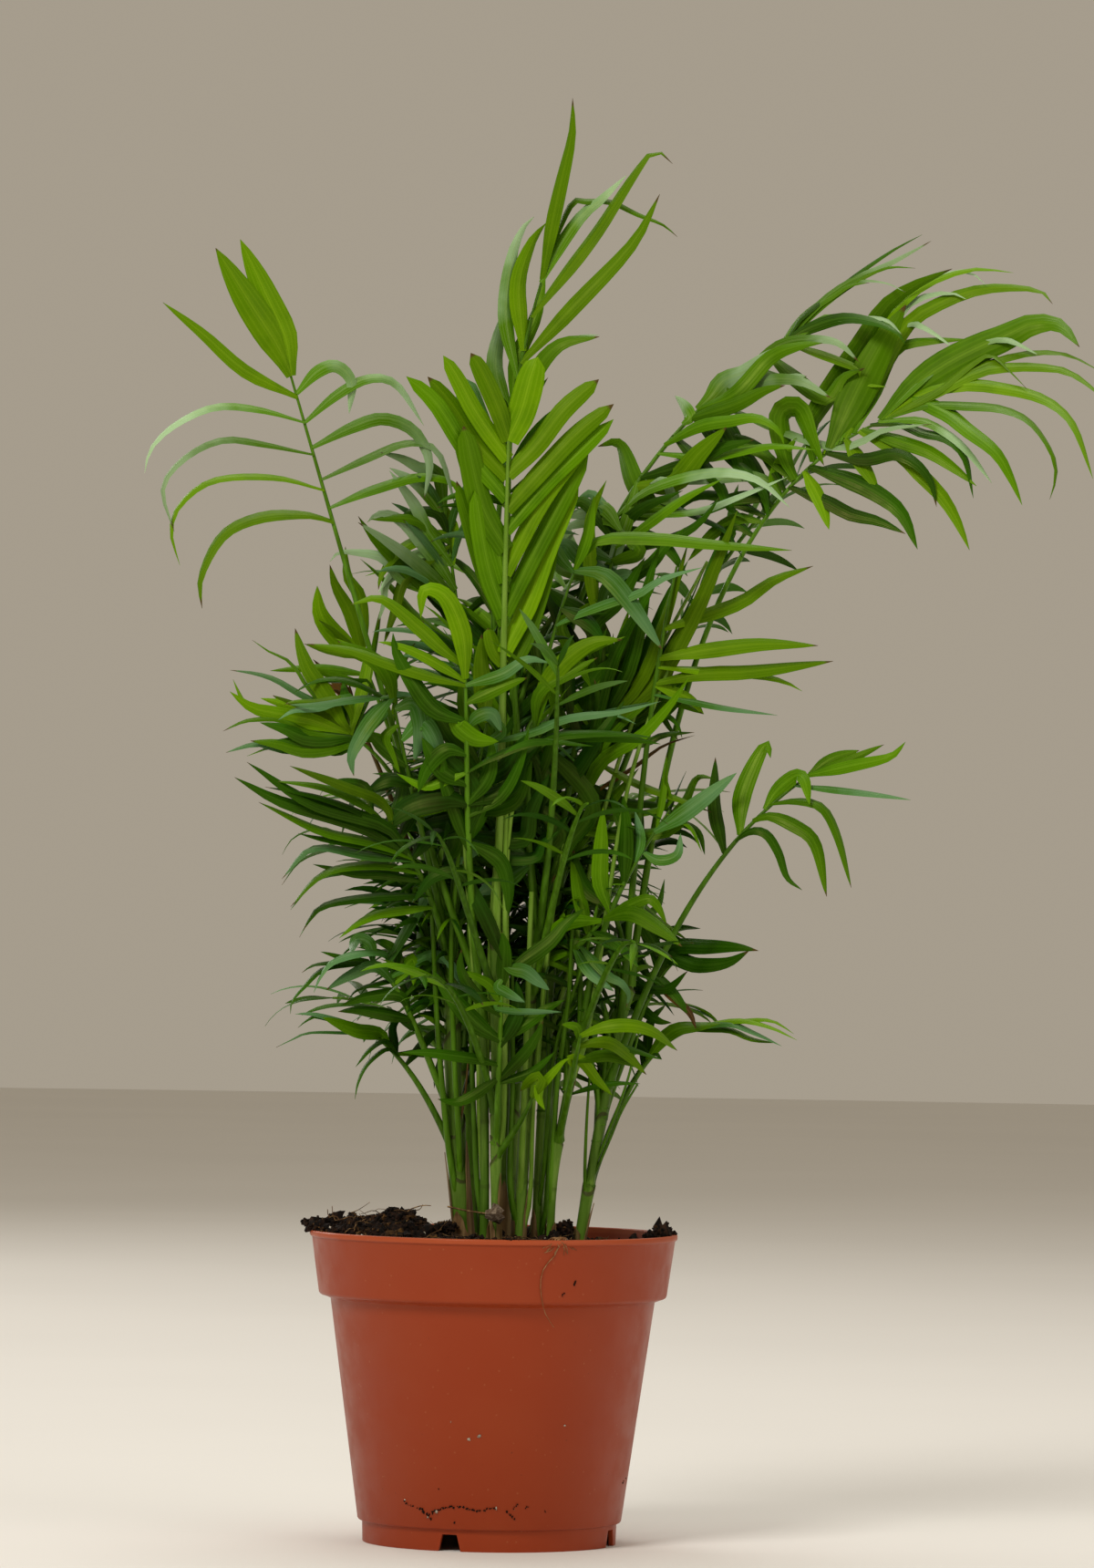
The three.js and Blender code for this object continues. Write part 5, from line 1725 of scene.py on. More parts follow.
        leaf(4.5, BLOOM, -40, 189, -42, 194, -46, 195.5, -48, 191),
        leaf(3.5, DEEP, -29, 183, -33, 191, -38, 195, -41, 195),
        leaf(3, DEEP, -27, 179, -20, 190, -12, 193),
        leaf(5.2, MID, -30, 184, -28.5, 189, -27.5, 187, -27.5, 181),
        leaf(3, BLOOM, -29, 183, -25, 190, -18, 190.5, -12, 181),
        leaf(2.5, DEEP, -25, 176, -32, 182, -40, 181, -46, 179, -49, 175.5),
        leaf(4, DEEP, -24, 174, -32, 177.5, -42, 177, -51, 174),
        leaf(4.5, DEEP, -23, 172, -35, 171, -45, 172.5, -52, 172),
        leaf(5, DEEP, -24, 174, -16, 180, -8, 172, -3, 164), leaf(3.5, SHADE, -22, 168, -28, 168, -34, 172),
        leaf(3.7, BLOOM, -28, 189, -24, 190, -19, 190, -15, 188, -12, 182),
        leaf(4, BLOOM, -21, 201, -22, 214, -25, 212, -29, 207),
        leaf(6, DEEP, -22, 180, -25, 192, -25, 201, -27, 209),
    ),
    frond(
        "frond_left_foot_low", "cane_left", 0.28, ((-18, -12, 138), (-28, -14, 158), (-42, -12, 166)), 0.6,
        (0, -0.2, 1),
        leaf(5.5, MID, -34, 163, -38, 165, -46, 166, -57, 170),
        leaf(1.8, DEEP, -42, 166, -58, 170, -62, 169, -65, 166.5),
        leaf(1.3, BLOOM, -40, 165, -60, 165, -66, 163, -72, 160),
        leaf(2, BLOOM, -40, 166, -52, 169, -60, 171, -66, 171),
        leaf(1.8, DEEP, -29, 160, -36, 162.5, -41, 160, -46, 154),
        leaf(1.8, DEEP, -29, 160, -36, 160, -42, 155, -45, 149, -46, 143.5),
        leaf(3.5, MID, -30, 161, -22, 159, -10, 158, 0, 156),
        leaf(2, BLOOM, -38, 165, -42, 166, -43.5, 162), leaf(3.5, DEEP, -27, 157, -22, 164, -15, 169),
        leaf(3, SHADE, -30, 161, -34, 167, -30, 172),
    ),
    frond(
        "frond_heart_left", "cane_left_thin", 0.9, ((-12, -36, 222), (-10, -44, 260), (-12, -46, 286)), 0.5,
        (0, -0.8, 0.6),
        leaf(5, BRIGHT, -13, 284, -20, 291, -28, 298, -40, 307, -50, 305),
        leaf(6.5, BRIGHT, -12, 280, -13.5, 296, -19, 308, -26, 310, -27, 301),
        leaf(4, BRIGHT, -12, 278, -25, 282, -38, 286, -50, 290, -64, 292),
        leaf(3.5, BRIGHT, -12, 279, -25, 288, -35, 292, -41, 293),
        leaf(6, DEEP, -12, 266, -22, 271, -30, 281, -35, 290, -36, 296),
        leaf(4, BLOOM, -11, 278, 0, 283, 8, 288, 15, 287), leaf(4.5, MID, -11, 272, 0, 279, 8, 282),
        leaf(6, MID, -10, 266, -15, 267, -9, 262, -1, 261),
        leaf(4.5, BLOOM, -11, 264, -8, 269, -3, 270, 0, 264),
        leaf(8.5, SHADE, -9, 240, -18, 242, -30, 239, -40, 230),
        leaf(2.4, DEEP, -10, 250, -2, 256, 12, 261, 30, 260),
        leaf(4, DEEP, -9, 236, 0, 243, 6, 254, 9, 266),
        leaf(5, DEEP, -10, 256, -18, 258, -24, 252, -27, 244),
        leaf(5, DEEP, -8, 225, -14, 236, -18, 247, -19, 258),
        leaf(4, SHADE, -7, 214, -14, 218, -22, 216, -28, 208),
        leaf(3.2, MID, -10, 250, -18, 248, -25, 246, -34, 250), leaf(6, DEEP, -10, 246, -20, 252, -26, 262),
        leaf(5, DEEP, -10, 240, -4, 250, -3, 262), leaf(7, SHADE, -5, 231, -9, 243, -14, 252, -21, 258),
        leaf(6, SHADE, -5, 240, 3, 246, 7, 255, 13, 261), leaf(5.5, DEEP, -6, 228, 0, 222, 3, 213, 3, 204),
    ),
    frond(
        "frond_left_shade", "cane_back_left", 0.92, ((-12, 16, 240), (-10, 12, 285), (-20, 6, 334)), 0.5,
        (0.2, -0.6, 0.8),
        leaf(5, FROST, -16, 308, -30, 320, -48, 332), leaf(3.6, MID, -18, 326, -30, 333, -44, 333),
        leaf(4, FROST, -20, 334, -28, 344, -38, 350),
        leaf(4.6, FROST, -10, 340, -22, 348, -28, 350, -34, 353, -41, 355),
        leaf(4.6, FROST, -17, 319, -25, 329, -29, 337, -34, 344, -38, 349),
        leaf(4, DEEP, -13, 330, -22, 335, -30, 336, -34, 334),
        leaf(5.4, FROST, -16, 311, -22, 320, -28, 327, -33, 332, -39, 335, -43, 334, -45, 332),
        leaf(5, MID, -16, 304, -25, 311, -31, 316, -37, 321, -43, 327, -48, 334),
        leaf(4.2, FROST, -25, 307, -32, 313, -37, 318, -41, 321, -48, 322, -54, 322, -57, 319),
        leaf(4, BRIGHT, -17, 330, -22, 329, -29, 326, -35, 322, -40, 315, -41, 310),
        leaf(3.6, FROST, -14, 320, -22, 322, -28, 322, -33, 319, -37, 315, -41, 309),
        leaf(3, MID, -17, 292, -28, 301, -35, 309, -41, 315, -47, 320),
        leaf(4, OLIVE, -30, 323, -32, 314, -35, 305, -39, 292),
        leaf(3.8, FROST, -33, 320, -37, 314, -39, 306, -41, 299),
        leaf(4, SHADE, -16, 299, -23, 308, -29, 316, -33, 320),
        leaf(4.4, BRIGHT, -13, 319, -17, 330, -22, 339, -27, 347),
        leaf(5, DEEP, -16, 296, -20, 307, -22, 314, -26, 322),
        tones=(BLOOM, DEEP, BLOOM),
        sides=(Side(38, 0.9, 0.7, 54, 20, 50, 40), Side(32, 0.9, 0.7, 60, 20, 60, 50)),
    ),
    frond(
        "frond_right_inner", "cane_middle", 0.9, ((24, -8, 245), (26, -10, 290), (38, -8, 330)), 0.45,
        (-0.3, -0.6, 0.8),
        leaf(5, BRIGHT, 27, 300, 28, 320, 28, 335, 33, 347),
        leaf(6, BLOOM, 32, 316, 24, 322, 20, 326, 14, 324),
        leaf(6, BLOOM, 28, 304, 36, 314, 41, 316, 42, 312),
        leaf(5, DEEP, 36, 326, 30, 336, 24, 340, 19, 334),
        leaf(5, DEEP, 26, 290, 30, 300, 38, 308, 46, 322), leaf(5, SHADE, 26, 286, 20, 298, 13, 312),
        leaf(5, DEEP, 24, 268, 30, 282, 38, 290), leaf(4, MID, 24, 262, 18, 272, 14, 286),
        leaf(4.4, FROST, 40, 336, 33, 334, 25, 333, 17, 330),
        leaf(4.8, FROST, 38, 338, 32, 338, 25, 336, 18, 335),
        leaf(3.8, BLOOM, 37, 340, 29, 342, 25, 341, 22, 339),
        leaf(5.6, BLOOM, 17, 325, 26, 324, 33, 318, 42, 314),
        leaf(6, DEEP, 31, 295, 27, 302, 21, 307, 13, 312),
        leaf(4, FROST, 23, 316, 18, 318, 20, 326, 23, 330),
        leaf(5, MID, 52, 329, 44, 324, 38, 321, 32, 319),
        leaf(4.6, DEEP, 43, 307, 47, 319, 52, 325, 59, 332),
        leaf(3.6, MID, 36, 325, 46, 332, 58, 341, 71, 348),
    ),
    frond(
        "frond_right_foot_dark", "cane_right", 0.5, ((44, 2, 165), (50, 6, 184), (58, 6, 190)), 0.4,
        (0, -0.3, 1),
        leaf(5.5, DEEP, 39, 194, 55, 194, 68, 195, 78, 195, 85, 194),
        leaf(5.5, DEEP, 42, 189, 56, 191, 65, 189, 75, 190, 82, 194),
        leaf(5, DEEP, 37, 206, 47, 203, 56, 198, 65, 194),
        leaf(4, DEEP, 36, 186, 45, 182, 55, 181, 62, 187),
        leaf(4, DEEP, 38, 189, 50, 186, 58, 179, 63, 172),
        leaf(3.2, DRY, 55, 181, 59, 177, 63, 173, 65, 168),
        leaf(4, MID, 34, 211, 43, 210, 51, 204, 62, 197), leaf(3, DEEP, 39, 193, 51, 197, 59, 201, 66, 201),
        leaf(4, SHADE, 33, 192, 41, 199, 47, 207, 49, 214),
        leaf(3, DEEP, 38, 197, 47, 202, 52, 208, 54, 217), leaf(4, SHADE, 33, 186, 25, 192, 19, 195),
        leaf(4, DEEP, 35, 182, 44, 177, 52, 171, 57, 170),
    ),
    frond(
        "frond_right_foot_fan", "cane_right", 0.24, ((40, 6, 142), (46, 10, 160), (62, 10, 167)), 0.5,
        (0, -0.3, 1),
        leaf(5, MID, 46, 160, 57, 167, 67, 169, 73, 170),
        leaf(2.5, BLOOM, 63, 168, 75, 170, 84, 167, 93, 163),
        leaf(2.2, BRIGHT, 64, 169, 78, 171, 89, 169, 98, 165),
        leaf(2, MID, 63, 168, 75, 168, 83, 165, 91, 164),
        leaf(1.8, BRIGHT, 67, 169, 81, 171, 90, 171, 97, 167), leaf(3.5, DEEP, 44, 162, 50, 170, 55, 176),
        leaf(3, DEEP, 43, 159, 49, 162, 54, 158), leaf(3.5, DEEP, 47, 163, 41, 166, 33, 166),
    ),
    frond(
        "frond_right_foot_front", "cane_right_thin", 0.5, ((24, -26, 148), (26, -36, 160), (27, -44, 166)),
        0.4, (0, -0.3, 1),
        leaf(4.6, BRIGHT, 30, 165, 34, 168, 43, 169, 51, 167, 59, 161),
        leaf(4.2, BRIGHT, 26, 162, 31, 163, 37, 163, 43, 159, 49, 153),
        leaf(3.7, BRIGHT, 21, 156, 24, 158, 28, 157, 33, 151, 38, 146),
        leaf(4, MID, 26, 157, 35, 159, 41, 158, 48, 155),
        leaf(1.9, DEEP, 24, 146, 33, 149, 39, 150, 47, 150),
        leaf(2.4, DEEP, 27, 162, 35, 163, 44, 161, 54, 158), leaf(3, MID, 28, 164, 26, 168, 21, 169),
    ),
    frond(
        "frond_right_side", "cane_back_right", 0.8, ((34, 22, 205), (42, 28, 222), (54, 32, 236)), 0.5,
        (-0.2, -0.4, 0.9),
        leaf(3, MID, 52, 235, 60, 242, 64, 250, 70, 250),
        leaf(2.5, DEEP, 54, 236, 60, 235, 65, 232, 67, 225),
        tones=(SHADE, DEEP), sides=(Side(24, 0.8, 1.1, 50, 6, 20, 4), Side(24, 0.8, 0.8, 50, 14, 70, 60)),
    ),
    frond(
        "frond_dry", "cane_back_left", 0.84, ((-26, 22, 215), (-38, 20, 250), (-50, 14, 273)), 0.82,
        (0.2, -0.8, 0.5),
        leaf(2.5, DRY, -50, 273, -56, 281, -62, 287), leaf(2, DRY, -49, 272, -52, 278, -55, 283),
        leaf(2, DRY, -48, 270, -49, 272, -50, 279),
        slot="dry_leaf", tones=(DRY,), gap=4, stem=RED,
        sides=(Side(13, 0.9, 0.9, 40, 16, 30, 40), Side(14, 0.9, 0.9, 30, 10, 30, 40)),
    ),
    frond(
        "frond_sprout", "cane_front", 0.3, ((6, -24, 134), (10, -28, 140), (12, -32, 146)), 0.6,
        (0, -0.8, 0.6),
        leaf(5, BRIGHT, 18, 153, 14, 151, 11, 150, 8, 147),
        leaf(3.6, BRIGHT, 17, 152, 14, 150, 14, 145, 16, 141), leaf(3, BRIGHT, 18, 154, 21, 156, 24, 158),
        slot="bright_leaf",
    ),
    frond(
        "frond_heart_low", "cane_left", 0.97, ((-20, -26, 212), (-28, -38, 240), (-35, -40, 274)), 0.55,
        (0, -0.8, 0.6),
        leaf(5.5, BLOOM, -34, 274, -42, 268, -46, 262, -49, 255, -48, 249),
        leaf(6, BLOOM, -33, 270, -29, 273, -26.5, 267, -27, 260, -28.5, 254),
        leaf(6, BLOOM, -32, 260, -26, 267, -21, 259, -23, 252, -26, 246),
        leaf(5.5, MID, -34, 272, -37, 281, -42, 287, -54, 293),
        leaf(2.5, BLOOM, -35, 274, -48, 274, -60, 272, -70, 272),
        leaf(3.5, MID, -33, 265, -38, 262, -36, 256, -33, 250),
        leaf(2, DEEP, -34, 272, -50, 280, -60, 280, -68, 276), leaf(5, DEEP, -30, 252, -38, 258, -44, 264),
        leaf(5, DEEP, -28, 244, -20, 252, -14, 262), leaf(4, MID, -26, 236, -18, 240, -8, 238),
        leaf(5, SHADE, -28, 246, -36, 248, -44, 244),
        solid=False,
    ),
    frond(
        "frond_heart_deep", "cane_left", 0.94, ((-14, -18, 215), (-9, -32, 245), (-4, -34, 268)), 0.3,
        (0, -0.8, 0.6),
        leaf(6.5, DEEP, -1, 247, -8, 252, -14, 260, -19, 267, -26, 278),
        leaf(7, DEEP, -4, 241, -14, 243, -23, 242, -32, 240),
        leaf(6.5, SHADE, -4, 237, -14, 235, -23, 233, -32, 233),
        leaf(7.5, DEEP, -6, 252, -7, 245, -7, 237, -9, 229),
        leaf(7, DEEP, -12, 237, -14, 231, -15, 226, -19, 220),
        leaf(3.6, BLOOM, 1, 258, 0, 264, -3, 268, -6, 269, -10, 268),
        leaf(6.2, MID, -2, 260, -7, 262, -12, 264, -16, 268),
        leaf(6, SHADE, -3, 246, 1, 252, 5, 258, 9, 264), leaf(6, DEEP, -2, 236, 3, 241, 7, 247, 10, 255),
        leaf(5.5, SHADE, -1, 229, 7, 229, 10, 238, 16, 251),
        leaf(5, SHADE, 2, 222, 10, 223, 14, 228, 19, 232),
        leaf(3.4, DEEP, -4, 247, 4, 254, 11, 260, 18, 263, 28, 264, 39, 264, 50, 263),
        leaf(3, BLOOM, 1, 258, 10, 264, 19, 268, 28, 270, 37, 271, 52, 275),
        leaf(4, MID, -7, 260, -12, 270, -13, 278, -12, 287),
        leaf(6, BRIGHT, -4, 266, -6, 276, -7, 286, -7, 296),
        solid=False,
    ),
    frond(
        "frond_foot_cross", "cane_front", 0.35, ((1, -26, 140), (1, -33, 165), (2, -34, 190)), 0.2,
        (0, -0.8, 0.6),
        leaf(4.8, BLOOM, 0, 189, 4, 187, 9, 186, 13, 183, 17, 180),
        leaf(3.7, BLOOM, -1, 184, 0, 181, 3, 179, 9, 176),
        leaf(2.2, BLOOM, -6, 177, -1, 174, 5, 173, 11, 173, 21, 173),
        leaf(3.7, DEEP, 3, 156, -6, 157, -13, 158, -22, 159, -31, 159),
        leaf(3.7, DEEP, 5, 152, -2, 149, -8, 145, -13, 143, -19, 144),
        leaf(4, DEEP, 5, 151, 9, 159, 13, 165, 15, 170), leaf(3, DEEP, 5, 150, 11, 153, 16, 157, 19, 160),
        leaf(6.5, DEEP, -1, 164, -6, 168, -12, 174, -18, 181, -21, 186),
        leaf(5, DEEP, 1, 181, 2, 189, 2, 195, 1, 199), leaf(4, DEEP, -2, 172, -7, 178, -12, 186, -12, 193),
        leaf(5, SHADE, 3, 162, 6, 171, 7, 177, 6, 183), leaf(4, DEEP, 6, 164, 11, 170, 16, 174, 22, 177),
        leaf(3.6, MID, 1, 175, -2, 181, -7, 184, -12, 186),
        leaf(5, DEEP, 5, 185, 16, 195, 22, 202, 28, 207),
        leaf(5, SHADE, 3, 198, -4, 203, -9, 213, -12, 222),
        solid=False,
    ),
    frond(
        "frond_heart_right", "cane_middle", 1, ((6, -26, 235), (8, -30, 275), (23, -26, 316)), 0.35,
        (0, -0.8, 0.6),
        leaf(6, BLOOM, 23, 316, 33, 316, 42, 306, 52, 292), leaf(4, BLOOM, 23, 315, 18, 322, 13, 332),
        leaf(4, MID, 23, 316, 27, 328, 29, 342),
        leaf(3.5, BLOOM, 17, 298, 25, 303, 35, 307, 44, 310, 52, 315, 65, 319),
        leaf(5.5, SHADE, 19, 304, 25, 302, 29, 299, 33, 294),
        leaf(6, BRIGHT, 9, 272, 14, 280, 22, 289, 30, 294, 39, 295),
        leaf(4, MID, 8, 266, 12, 277, 22, 284, 31, 289),
        leaf(2, BLOOM, 8, 260, 12, 266, 22, 268.5, 33, 270, 40, 272),
        leaf(4, DEEP, 8, 255, 16, 262.5, 30, 263, 42, 262.5, 52, 261),
        leaf(5, BLOOM, 9, 228, 2, 229, -5, 228, -12, 223, -20, 218),
        leaf(6, BLOOM, 10, 221, 5, 218, 0, 214, -7, 211), leaf(5.5, SHADE, 9, 229, 12, 241, 16.5, 251),
        leaf(5, SHADE, 10, 222, 15, 229, 22, 237), leaf(5, DEEP, 8, 244, 14, 256, 18, 270),
        leaf(4.5, DEEP, 11, 280, 10, 296, 6, 312),
        leaf(4.6, MID, 23, 316, 30, 327, 48, 328, 67, 326.5, 94, 325),
        leaf(3.6, MID, 8, 262, 16, 283, 28, 291, 40, 296),
        leaf(6.8, SHADE, 22, 257, 15, 248, 10, 239, 8, 227),
        leaf(4.6, BLOOM, 9, 223, 1, 229, -8, 228, -19, 219),
        leaf(4.6, BLOOM, 12, 222, 4, 218, -3, 214, -9, 209),
        leaf(5.5, DEEP, 29, 242, 21, 231, 15, 224, 9, 221),
        leaf(5.5, DEEP, 39, 259, 30, 242, 23, 228, 17, 215),
        leaf(5, SHADE, 16, 246, 22, 249, 31, 262, 40, 275),
        solid=False,
    ),
    frond(
        "frond_right_straps", "cane_middle_right", 1, ((22, -10, 225), (27, -14, 250), (34, -12, 282)),
        0.25, (0, -0.8, 0.6),
        leaf(6.2, OLIVE, 36, 262, 49, 280, 59, 297, 67, 314, 76, 338),
        leaf(4.6, OLIVE, 31, 263, 45, 281, 52, 299, 57, 316, 60, 327),
        leaf(1.4, SHADE, 32, 267, 52, 291, 61, 308, 66, 320),
        leaf(5, DEEP, 31, 263, 40, 282, 44, 296, 46, 309, 51, 327),
        leaf(4, DEEP, 28, 253, 34, 282, 40, 297, 47, 309, 51, 317),
        leaf(4.4, MID, 21, 235, 32, 254, 45, 263, 55, 274, 61, 283),
        leaf(1.8, DEEP, 0, 254, 13, 261, 27, 264, 46, 263),
        leaf(1.4, BLOOM, 0, 257, 15, 266, 32, 271, 50, 275),
        leaf(2.5, BRIGHT, 32, 255, 44, 248, 58, 243, 69, 239),
        leaf(6.6, SHADE, 22, 257, 17, 251, 13, 241, 8, 228),
        leaf(4, MID, 45, 227, 53, 232, 63, 241, 75, 251),
        leaf(2.2, MID, 50, 230, 53, 240, 54, 249, 54, 258),
        leaf(4, DEEP, 29, 251, 32, 271, 35, 286, 36, 297),
        leaf(3.6, DEEP, 29, 255, 39, 271, 47, 281, 54, 294),
        leaf(3.2, MID, 27, 247, 35, 263, 44, 272, 53, 279, 62, 283),
        leaf(4.4, DEEP, 26, 241, 30, 257, 32, 271, 30, 282),
        leaf(5, DEEP, 35, 260, 37, 279, 42, 294, 47, 311, 50, 321),
        leaf(5.5, DEEP, 38, 264, 42, 279, 48, 293, 54, 309, 60, 321),
        leaf(5, MID, 30, 263, 33, 279, 38, 293, 41, 305), leaf(5, DEEP, 40, 259, 48, 274, 55, 288, 61, 302),
        leaf(5, DEEP, 38, 262, 47, 271, 53, 278, 59, 281),
        leaf(4.5, MID, 35, 265, 46, 273, 55, 275, 66, 271),
        leaf(4.5, DEEP, 34, 254, 41, 262, 50, 268, 59, 275),
        leaf(3, DEEP, 40, 256, 46, 261, 53, 264, 63, 265),
        leaf(3, DEEP, 41, 264, 50, 271, 57, 268, 59, 263), leaf(4, MID, 30, 253, 33, 260, 38, 267, 46, 270),
        leaf(5, DEEP, 24, 259, 30, 271, 36, 282, 41, 291),
        leaf(5, SHADE, 27, 257, 24, 269, 22, 280, 24, 291),
        leaf(5, DEEP, 32, 257, 29, 273, 30, 287, 34, 299),
        leaf(7.5, DEEP, 28, 282, 31, 297, 24, 304, 18, 308, 14, 312),
        leaf(4.8, MID, 22, 277, 19, 298, 25, 303, 31, 307, 38, 309, 43, 311),
        leaf(3.6, MID, 19, 267, 19, 280, 25, 285, 31, 288, 40, 292),
        leaf(5, MID, 23, 245, 32, 256, 39, 261, 46, 266, 53, 274, 62, 284),
        leaf(5, DEEP, 33, 265, 37, 275, 40, 284, 43, 293),
        leaf(4.4, MID, 18, 219, 28, 232, 37, 243, 45, 253),
        leaf(3.2, DEEP, 28, 248, 40, 242, 50, 241, 59, 238),
        leaf(4, SHADE, 36, 245, 43, 238, 46, 231, 45, 222),
        leaf(1.6, DRY, 31, 240, 43, 253, 48, 257, 54, 261, 63, 264),
        leaf(4, DEEP, 26, 263, 32, 273, 35, 282, 38, 289),
        leaf(4, DEEP, 34, 279, 45, 279, 52, 278, 62, 275),
        leaf(3.6, MID, 31, 263, 39, 267, 46, 269, 52, 271),
        leaf(3, DEEP, 40, 274, 48, 278, 55, 278, 59, 275),
        leaf(3, DEEP, 42, 282, 51, 271, 55, 266, 58, 262),
        solid=False,
    ),
    frond(
        "frond_right_hang", "cane_right_thin", 1, ((31, -20, 195), (36, -24, 212), (55, -22, 239)), 0.3,
        (0, -0.8, 0.6),
        leaf(5.5, MID, 36, 206, 33, 215, 33, 226, 33.5, 240),
        leaf(5.5, DEEP, 40, 216, 41, 224, 41, 234, 40, 244), leaf(3.5, BLOOM, 44, 222, 46, 230, 44, 239),
        leaf(5.5, BLOOM, 50, 232, 58, 237, 66, 243, 77, 252), leaf(2.5, MID, 51, 233, 53, 244, 54, 258),
        leaf(3.5, BLOOM, 46, 226, 52, 223, 58, 225, 59, 232), leaf(1.6, MID, 54, 238, 62, 234, 66, 226),
        leaf(5, DEEP, 36, 208, 28, 214, 24, 226), leaf(4, DEEP, 46, 226, 40, 234, 36, 246),
        solid=False,
    ),
    frond(
        "frond_right_spears", "cane_middle_right", 0.86, ((22, -16, 188), (28, -26, 198), (35, -30, 204)),
        0.3, (0, -0.8, 0.6),
        leaf(5.5, MID, 34, 204, 43, 205.5, 52, 201, 60, 195), leaf(5, MID, 29, 199, 26, 212, 23.5, 226),
        leaf(4, DEEP, 24, 194, 16, 200, 8, 210), leaf(4, DEEP, 30, 200, 38, 196, 46, 188),
        leaf(4, BLOOM, 25, 194, 30, 186, 38, 180), leaf(4, DEEP, 22, 190, 14, 186, 6, 178),
        leaf(4.8, MID, 29, 208, 22, 202, 15, 195, 9, 189),
        leaf(3.4, BLOOM, 32, 190, 36, 185, 40, 183, 43, 179, 42, 175),
        leaf(4, MID, 40, 210, 47, 210, 51, 209, 55, 202), leaf(3.4, MID, 23, 193, 18, 191, 15, 187),
        solid=False,
    ),
    frond(
        "frond_front_low_left", "cane_front", 0.45, ((-8, -36, 172), (-16, -54, 188), (-24, -74, 184)),
        0.45, (0, 0, 1),
        tones=UNDERGROWTH, thinning=0.2, sides=front_sides(28, 28),
    ),
    frond(
        "frond_front_low_right", "cane_right_thin", 0.92, ((34, -30, 186), (40, -52, 200), (44, -74, 196)),
        0.45, (0, 0, 1),
        tones=UNDERGROWTH, thinning=0.2, sides=front_sides(28, 26),
    ),
    frond(
        "frond_front_left", "cane_front", 0.82, ((-10, -42, 205), (-16, -64, 228), (-20, -86, 230)), 0.5,
        (0, 0, 1),
        tones=UNDERGROWTH, thinning=0.2, sides=front_sides(32, 32),
    ),
    frond(
        "frond_front_right", "cane_middle", 0.8, ((18, -34, 212), (24, -58, 240), (28, -80, 240)), 0.5,
        (0, 0, 1),
        tones=UNDERGROWTH, thinning=0.2, sides=front_sides(32, 30),
    ),
    frond(
        "frond_front_high", "cane_middle", 0.96, ((18, -28, 235), (18, -48, 270), (18, -66, 284)), 0.6,
        (0, -0.3, 0.9),
        tones=(DEEP, MID, BLOOM), sides=(Side(30, 0.8, 0.8, 62, 16, 40, 30),) * 2,
    ),
)


@dataclass(frozen=True)
class Tier:
    """Fronds that fill the back at one height, a turn apart. The clump is deeper than it is wide."""

    name: str
    turn: float
    step: float
    at: float
    out: float
    rise: float
    bare: float
    canes: tuple[str, ...]
    side: Side
    squeeze: float = 0.8
    back: float = 12.0

    def fronds(self) -> list[Frond]:
        """Arches its fronds out and over.

        Returns:
            The fronds.
        """
        made = []
        for i, cane in enumerate(self.canes):
            angle = math.radians(self.turn + self.step * i)
            start = CANES[cane].curve.spot(self.at)
            end = np.array([self.out * self.squeeze * math.cos(angle),
                            self.out * math.sin(angle) + self.back, self.rise])
            near, far = start + 0.15 * (end - start), start + 0.55 * (end - start)
            near[2] = start[2] + 0.45 * (end[2] - start[2])
            far[2] = start[2] + 1.02 * (end[2] - start[2])
            path = (tuple(near), tuple(far), tuple(end))
            made.append(frond(f"{self.name}_{i + 1}", cane, self.at, path, self.bare, (0, 0, 1),
                              sides=(self.side, self.side)))
        return made


TIERS = (
    Tier("frond_back_low", 18, 35, 0.5, 74, 176, 0.5,
         ("cane_back_right", "cane_back_right", "cane_far_back", "cane_back", "cane_back_left"),
         Side(32, 0.8, 0.8, 66, 16, 56, 46)),
    Tier("frond_back_mid", 38, 35, 0.94, 80, 246, 0.52,
         ("cane_back_right", "cane_far_back", "cane_back", "cane_back_left"),
         Side(40, 0.8, 0.8, 62, 16, 56, 40)),
    Tier("frond_back_high", 58, 30, 0.86, 62, 318, 0.6, ("cane_core", "cane_back", "cane_back"),
         Side(36, 0.8, 0.8, 60, 18, 50, 40)),
)


